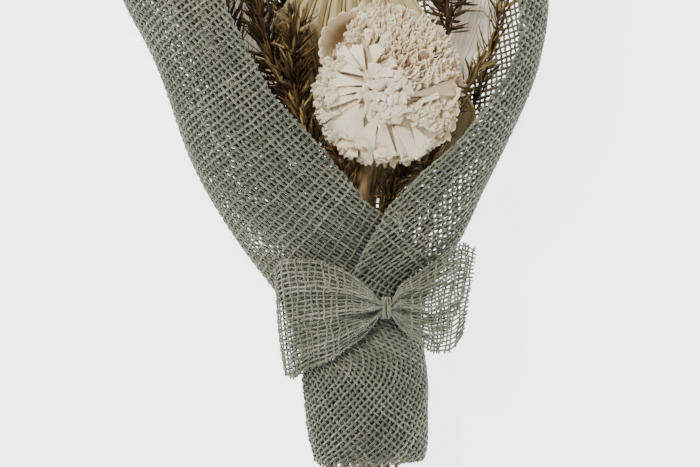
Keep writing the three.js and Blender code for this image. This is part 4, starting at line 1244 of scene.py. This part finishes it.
# the deep cupped petal, upper left; its hollow is painted dark as painted shade, its rim light
cupr = at(500, 430)
for (ang, half, L, z0, z1, cup, tn_) in ((147, 58, 18.2, 64.0, 77.0, 2.5, (0.07, 0.85)), (186, 22, 17.6, 66.5, 72.0, 1.5, (0.14, 0.66))):
    fan(cupr, ang, half, L, z0, z1, head_parts["outer_petal_3"], cup=cup, ruf=0.3, rn=4, teeth=0.6, tn=6, curl=2.0, tone=tn_, arch=-5.5, rnd_edge=0.04, tipw=9, tpow=3.4)

# smooth wedges with ruffled ends, and their neighbours, roughly from the left round the foot to the right
WEDGES = [  # root, angle, half, length mm, root height above the bed, tip height, tilt, ruffle
    (560, 640, 137, 13, 16.0, 1.6, 1.8, 0.9, 0.9), (600, 700, 152, 15, 17.2, 1.8, 1.6, 0.8, 1.15), (610, 770, 170, 12.5, 18.8, 1.9, 1.5, 0.7, 1.25),
    (600, 810, 181, 11.5, 20.6, 1.7, 1.2, 0.7, 1.25), (590, 860, 189, 10, 20.0, 1.4, 0.8, 0.6, 1.1), (570, 900, 199, 10.5, 23.0, 0.6, 0.0, 0.8, 0.9),
    (556, 905, 212, 11.5, 21.5, 0.4, -0.5, 0.9, 0.7), (548, 925, 232, 18, 20.0, 1.7, 1.2, 0.8, 0.75), (556, 945, 258, 16.5, 19.0, 1.5, 1.2, -0.8, 0.8),
    (700, 1010, 246, 18, 19.5, 1.1, 1.5, 0.7, 0.9), (735, 1030, 272, 18, 21.5, 1.3, 1.7, 0.9, 0.95), (815, 1120, 298, 15, 16.0, 0.3, 0.0, 0.8, 0.8),
    (835, 1120, 322, 25, 20.5, 1.5, 1.9, -0.9, 0.9), (1000, 1120, 300, 20, 12.0, 1.3, 1.2, 0.8, 1.0), (960, 1040, 343, 17, 15.0, 1.3, 1.4, 0.8, 1.2),
    (990, 1010, 8, 15, 14.5, 1.5, 1.8, 0.9, 1.2), (1010, 960, 33, 14, 13.5, 1.1, 1.4, -0.8, 1.1), (925, 880, 12, 9.5, 27.0, 4.6, 3.6, 0.5, 0.3),
    (925, 900, 2, 6, 26.0, 0.9, 1.4, 0.4, 0.5), (430, 720, 158, 24, 14.0, -2.0, -0.2, 0.9, 1.3),
    (400, 830, 178, 19, 14.8, -2.0, 0.0, -0.9, 1.3), (420, 960, 196, 19, 15.2, -2.0, -0.3, 0.8, 1.2), (470, 1080, 216, 20, 15.5, -2.0, -0.2, -0.8, 1.1),
    (540, 1180, 236, 20, 14.5, -2.0, -0.6, 0.8, 1.1), (640, 1240, 254, 20, 13.0, -2.4, -1.4, 0.7, 0.8), (900, 1250, 292, 22, 11.5, -2.4, -1.4, -0.8, 0.8), (1060, 1190, 318, 22, 10.5, -2.0, -0.6, 0.8, 1.0),
    (1180, 1060, 340, 20, 10.0, -2.0, -0.3, 0.8, 1.1), (1230, 900, 2, 20, 9.5, -2.0, -0.3, -0.8, 1.1), (615, 735, 66, 26, 9.0, 2.1, 1.7, 0.7, 0.3), (655, 600, 78, 24, 10.6, 1.6, 1.8, -0.7, 0.35),
    (592, 660, 112, 15, 14.5, 1.6, 1.9, -0.9, 0.6), (600, 450, 84, 14, 10.6, 1.6, 1.6, 1.2, 0.3), (700, 470, 62, 18, 9.0, 1.4, 1.0, 0.6, 0.5),
    (740, 640, 38, 24, 8.0, 1.6, 1.4, 0.8, 0.5), (690, 700, 20, 22, 8.0, 1.9, 1.6, -0.6, 0.5)]
for (cx, cy, ang, half, L, hz0, hz1, tilt, ruf) in WEDGES:
    root = at(cx, cy)
    tip = root + L * np.array([math.cos(math.radians(ang)), math.sin(math.radians(ang))])
    r0, r1 = np.hypot(*(root - HEAD)), np.hypot(*(tip - HEAD))
    z0, z1 = dome(r0) + hz0 - 1.2, max(float(dome(r1)), 68.0) + hz1
    stripe = (cx, cy) in ((925, 880), (925, 900))
    fan(root, ang, half, L, z0, z1, None, tilt=tilt, cup=0.5, ruf=ruf, rn=3 if half > 11 else 2, teeth=0.8 * ruf, tn=4, curl=-0.6 * ruf, arch=1.3, tone=(0.24, 0.34) if stripe else (0.40, 0.95), thick=0.6, rnd_edge=0.08, tipw=9.0)


def inside(poly, x, y):
    n, c = len(poly), False
    for i in range(n):
        x1, y1 = poly[i]
        x2, y2 = poly[(i + 1) % n]
        if (y1 > y) != (y2 > y) and x < (x2 - x1) * (y - y1) / (y2 - y1) + x1:
            c = not c
    return c


def scatter(poly, gap, tries=9000):
    xs, ys = [p[0] for p in poly], [p[1] for p in poly]
    out = []
    for _ in range(tries):
        x, y = frng.uniform(min(xs), max(xs)), frng.uniform(min(ys), max(ys))
        if inside(poly, x, y) and all((x - a) ** 2 + (y - b) ** 2 > (gap / GRID) ** 2 for a, b in out):
            out.append((x, y))
    return out


FINE = [(440, 170), (600, 75), (850, 85), (1050, 170), (1250, 300), (1360, 560), (1375, 690), (1300, 700), (1000, 800), (940, 700), (860, 600), (760, 540), (745, 420), (660, 400), (640, 260), (560, 270), (545, 400), (440, 380)]
HEART = [(610, 690), (660, 650), (770, 640), (940, 700), (950, 860), (920, 1000), (930, 1100), (800, 1090), (640, 1110), (560, 970), (600, 760)]
LOWER = [(960, 940), (1300, 890), (1365, 830), (1375, 1000), (1320, 1170), (1260, 1230), (1200, 1100), (1000, 1090), (940, 1000)]
LEFT_EDGE = [(290, 570), (420, 520), (420, 640), (360, 700), (350, 830), (290, 880), (235, 830), (270, 700)]
LOW_EDGE = [(420, 1190), (560, 1240), (700, 1300), (800, 1340), (740, 1385), (600, 1370), (470, 1330), (380, 1270)]


def radial(p):
    d = p - HEAD
    return d / max(np.hypot(*d), 1e-6)


for (cx, cy) in scatter(FINE, 1.45):
    p = at(cx, cy)
    r = np.hypot(*(p - HEAD))
    rd = radial(p)
    th = math.radians(58 + 30 * frng.standard_normal() - 10 * (cx > 1150))
    w = np.array([math.cos(th), math.sin(th), 0.25 * frng.standard_normal()])
    lean = 0.85 + 0.7 * (r / HEAD_R) ** 2 + 0.3 * frng.standard_normal()
    d = unit(np.array([rd[0] * lean + 0.2 * frng.standard_normal(), rd[1] * lean + 0.2 * frng.standard_normal(), 1.0]))
    w = unit(w - d * np.dot(w, d))
    speck = min(math.hypot(cx - 1070, cy - 530) - 8, math.hypot(cx - 965, cy - 610)) < 22
    flake(np.array([p[0], p[1], float(dome(r)) - 3.0]), d, w, (4.1 + 1.1 * frng.random()) * (0.8 if speck else 1), 3.6 + 2.2 * frng.random(), 0.3 * frng.standard_normal(), 0.25 * frng.standard_normal(), 0.0 if speck else 0.8 + 0.14 * frng.standard_normal(), jag=0.3, thick=0.42)
for (poly, gap, H, W, flat) in ((HEART, 2.3, 5.0, 5.6, 0.22), (LOWER, 2.0, 4.2, 4.4, 0.45), (LEFT_EDGE, 3.2, 4.6, 5.2, 0.3), (LOW_EDGE, 3.2, 4.4, 5.2, 0.35)):
    for (cx, cy) in scatter(poly, gap):
        p = at(cx, cy)
        r = np.hypot(*(p - HEAD))
        th = frng.random() * 6.28 if poly is HEART else math.atan2(*(radial(p)[::-1])) + 0.6 * frng.standard_normal()
        out = np.array([math.cos(th), math.sin(th)])
        d = unit(np.array([out[0], out[1], flat + 0.35 * frng.random()]))
        w = unit(np.cross(d, np.array([out[0], out[1], 0.15 * frng.standard_normal()]) * 0.3 + np.array([0, 0, 1.0])))
        base_z = max(float(dome(r)), 67.0) - (0.4 if poly is HEART else 1.2) + (1.2 if poly in (LEFT_EDGE, LOW_EDGE) else 0)
        speck = poly is LOWER and math.hypot(cx - 1015, cy - 1010) < 16
        flake(np.array([p[0], p[1], base_z]), d, w, H * (0.8 + 0.4 * frng.random()), W * (0.8 + 0.4 * frng.random()), -0.5 * frng.random(), -0.35 * frng.random(), 0.055 if speck else 0.85 + 0.12 * frng.standard_normal(), jag=0.12 if poly is HEART else 0.2)
# all over the lower slopes, short scales between the rings
for j in range(70):
    ang = frng.random() * 6.283
    r = 29.5 + 5.5 * frng.random()
    if 1.9 < ang < 3.05:
        r = 29.5   # none on the cupped petal
    p = HEAD + r * np.array([math.cos(ang), math.sin(ang)])
    d = unit(np.array([math.cos(ang) + 0.25 * frng.standard_normal(), math.sin(ang) + 0.25 * frng.standard_normal(), 0.25 + 0.5 * frng.random()]))
    w = unit(np.cross(d, [0, 0, 1.0]) + 0.3 * frng.standard_normal(3))
    w = unit(w - d * np.dot(w, d))
    flake(np.array([p[0], p[1], 62.5 + 8.0 * frng.random()]), d, w, 3.0 + 1.2 * frng.random(), 3.0 + 1.2 * frng.random(), -0.4, 0.3, 0.75 + 0.15 * frng.standard_normal())

for name, p in head_parts.items():
    piece(p.make(name + "_layers"), name, "petal_inner" if name.startswith("inner") else "petal", INNER_MAT if name.startswith("inner") else PETAL_MAT)
# the heart: a ribbed button that carries the petals
k = 40
aa = 2 * np.pi * np.arange(k) / k
prof = [(3.4, 57.3), (6.5, 57.8), (9.0, 60.0), (11.5, 62.5), (10.0, 66), (8.6, 74), (7.6, 82), (5.4, 87.0), (2.6, 88.4)]
pr = spline([[r, z, 0] for r, z in prof], 40)
rings = np.stack([HEAD[0] + pr[:, :1] * (1 + 0.03 * np.sin(8 * aa)[None]) * np.cos(aa)[None], HEAD[1] + pr[:, :1] * (1 + 0.03 * np.sin(8 * aa)[None]) * np.sin(aa)[None], pr[:, 1:2] + 0 * aa[None]], -1)
core.loft(rings, 0.2)
piece(core.make("flower_heart"), "flower_core", "petal_inner", INNER_MAT)

# ------------------------------------------------------------------ loose fibres that stand off the cloth
fuzz = Tubes(3)
fg = np.random.default_rng(404)


def stray(p0, d, length, bend, r=0.11):
    t = np.linspace(0, 1, 9)[:, None]
    side = unit(np.cross(d, [0, 0, 1.0]) + 1e-6)
    P = p0 + d * length * t + side * bend * t ** 2 + np.array([0, 0, 1.0]) * bend * 0.3 * t ** 2
    fuzz.add(P, np.array([0.3, 0.2, 1.0]), r * (1 - 0.5 * t[:, 0]), r * (1 - 0.5 * t[:, 0]), 0.35 + 0.3 * fg.random())


for (y, dx, L, b) in ((99.5, -1, 5.6, 0.2), (96, -1, 2.8, -0.6), (38.5, -1, 4.2, 0.5), (29, -1, 3.6, -0.4), (25, -1, 3.0, 0.8), (88, -1, 2.2, 0.5), (-2, -1, 2.4, 0.7), (60, -1, 2.6, -0.5), (72, -1, 2.0, 0.4)):
    xc, w, zc, b_ = section(np.array(float(y)))
    stray(np.array([float(xc - w), y, float(zc) + 2]), unit(np.array([dx, 0.12 * fg.standard_normal(), 0.1])), L, b)
for (y, L, b) in ((-6, 4.0, -2.2), (14, 2.4, 0.8), (50, 2.2, 0.6), (82, 2.6, -0.7), (110, 2.4, 0.5), (-90, 1.6, 0.5), (-64, 1.8, -0.5)):
    xc, w, zc, b_ = section(np.array(float(y)))
    stray(np.array([float(xc + w), y, float(zc) + 2]), unit(np.array([1, 0.2 * fg.standard_normal(), 0.1])), L, b)
for j in range(230):
    # short fibres over the whole cloth, lying close to it
    y = float(fg.uniform(-112, 180))
    th = math.radians(fg.uniform(40, 320))
    xc, w, zc, b_ = section(np.array(y))
    n = unit(np.array([-math.sin(th) / float(w), 0, math.cos(th) / float(b_)]))
    p0 = np.array([float(xc) - float(w) * math.sin(th), y, float(zc) + float(b_) * math.cos(th)]) + n * 1.6
    if p0[2] < 4:
        continue
    d = unit(n * 0.55 + fg.standard_normal(3) * np.array([0.5, 0.8, 0.5]))
    stray(p0, d, 1.6 + 2.2 * fg.random(), 0.8 * fg.standard_normal(), 0.08)
for (x, y) in ((62, -6), (60.5, -12), (63.5, -20), (-36.5, -30), (-34, -60), (-31, -70), (40, -60), (57, -50)):
    z = float(bow_point(np.array([15.5 if x > 0 else 0.3]), np.array([0.5]), np.ones(1))[0, 2])
    stray(np.array([x, y, z]), unit(np.array([1 if x > 0 else -1, 0.6 * fg.standard_normal(), 0.2])), 2.0 + 2.0 * fg.random(), 1.2 * fg.standard_normal(), 0.1)
piece(fuzz.make("loose_fibres"), "mesh_wrap", "mesh", MESH_MAT)

# ------------------------------------------------------------------ each sheet's flat size
for o, area in wrap:
    L = math.sqrt(area)
    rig.sheet(o, flat=(L, L), held="draped", rests_on=[])
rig.sheet(bow, flat=(0.206, 0.056), held="gathered", rests_on=[])

# ------------------------------------------------------------------ stage, light, camera
me = bpy.data.meshes.new("floor")
prof = [(0.0, 0.0), (1.0, 0.0), (4.0, 0.0), (10.0, 0.0)] + [(10 + 2 * math.sin(t), 2 - 2 * math.cos(t)) for t in np.radians(np.arange(9, 91, 9))] + [(12.0, 3.0)]
ns = 96
fv = [(0.0, 0.0, -0.0006)] + [(r * math.cos(2 * math.pi * j / ns), r * math.sin(2 * math.pi * j / ns), z - 0.0006) for r, z in prof[1:] for j in range(ns)]
ff = [(0, 1 + j, 1 + (j + 1) % ns) for j in range(ns)]
for i in range(len(prof) - 2):
    o_ = 1 + i * ns
    ff += [(o_ + j, o_ + ns + j, o_ + ns + (j + 1) % ns, o_ + (j + 1) % ns) for j in range(ns)]
me.from_pydata(fv, [], ff)
me.polygons.foreach_set("use_smooth", [True] * len(me.polygons))
floor = bpy.data.objects.new("floor", me)
bpy.context.scene.collection.objects.link(floor)
m, nt, bs = material("studio_white", 0.9)
bs.inputs["Base Color"].default_value = (0.92, 0.92, 0.92, 1)
bs.inputs["Emission Color"].default_value = (1, 1, 1, 1)
bs.inputs["Emission Strength"].default_value = 2.9
me.materials.append(m)
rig.stage(floor)


def area_light(name, loc, target, size, power, color=(1, 1, 1)):
    l = bpy.data.lights.new(name, "AREA")
    l.shape, l.size, l.energy, l.color = "DISK", size, power, color
    o = bpy.data.objects.new(name, l)
    o.location = loc
    d = np.array(target, float) - np.array(loc, float)
    import mathutils
    o.rotation_euler = mathutils.Vector(d).to_track_quat("-Z", "Y").to_euler()
    bpy.context.scene.collection.objects.link(o)
    return o


area_light("key", (-0.9, 1.0, 1.7), (0, 0, 0.03), 0.6, 60, (1.0, 0.98, 0.95))
area_light("fill", (1.2, -0.4, 1.5), (0, 0, 0.03), 1.2, 12, (0.96, 0.98, 1.0))
world = bpy.data.worlds.new("studio")
world.use_nodes = True
world.node_tree.nodes["Background"].inputs[0].default_value = (1, 1, 1, 1)
world.node_tree.nodes["Background"].inputs[1].default_value = 0.22
bpy.context.scene.world = world

cam = bpy.data.cameras.new("camera")
cam.type, cam.lens, cam.sensor_width = "PERSP", 200.57, 36
cam.clip_start, cam.clip_end = 0.05, 20
co = bpy.data.objects.new("camera", cam)
co.location = (SX / 1000, SY / 1000, 2.0)
co.rotation_euler = (0, 0, 0)
bpy.context.scene.collection.objects.link(co)
bpy.context.scene.camera = co

lo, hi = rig.bounds()
json.dump({"cad": [list(cad_lo), list(cad_hi)], "visual": [list(lo), list(hi)]}, open("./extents.json", "w"))
print("cad", [round(v, 4) for v in cad_lo], [round(v, 4) for v in cad_hi], "visual", [round(v, 4) for v in lo], [round(v, 4) for v in hi])
for ob in bpy.data.objects:
    if ob.type == "MESH" and len(ob.data.polygons) > 1000:
        print("tris", ob.name, sum(len(p.vertices) - 2 for p in ob.data.polygons))
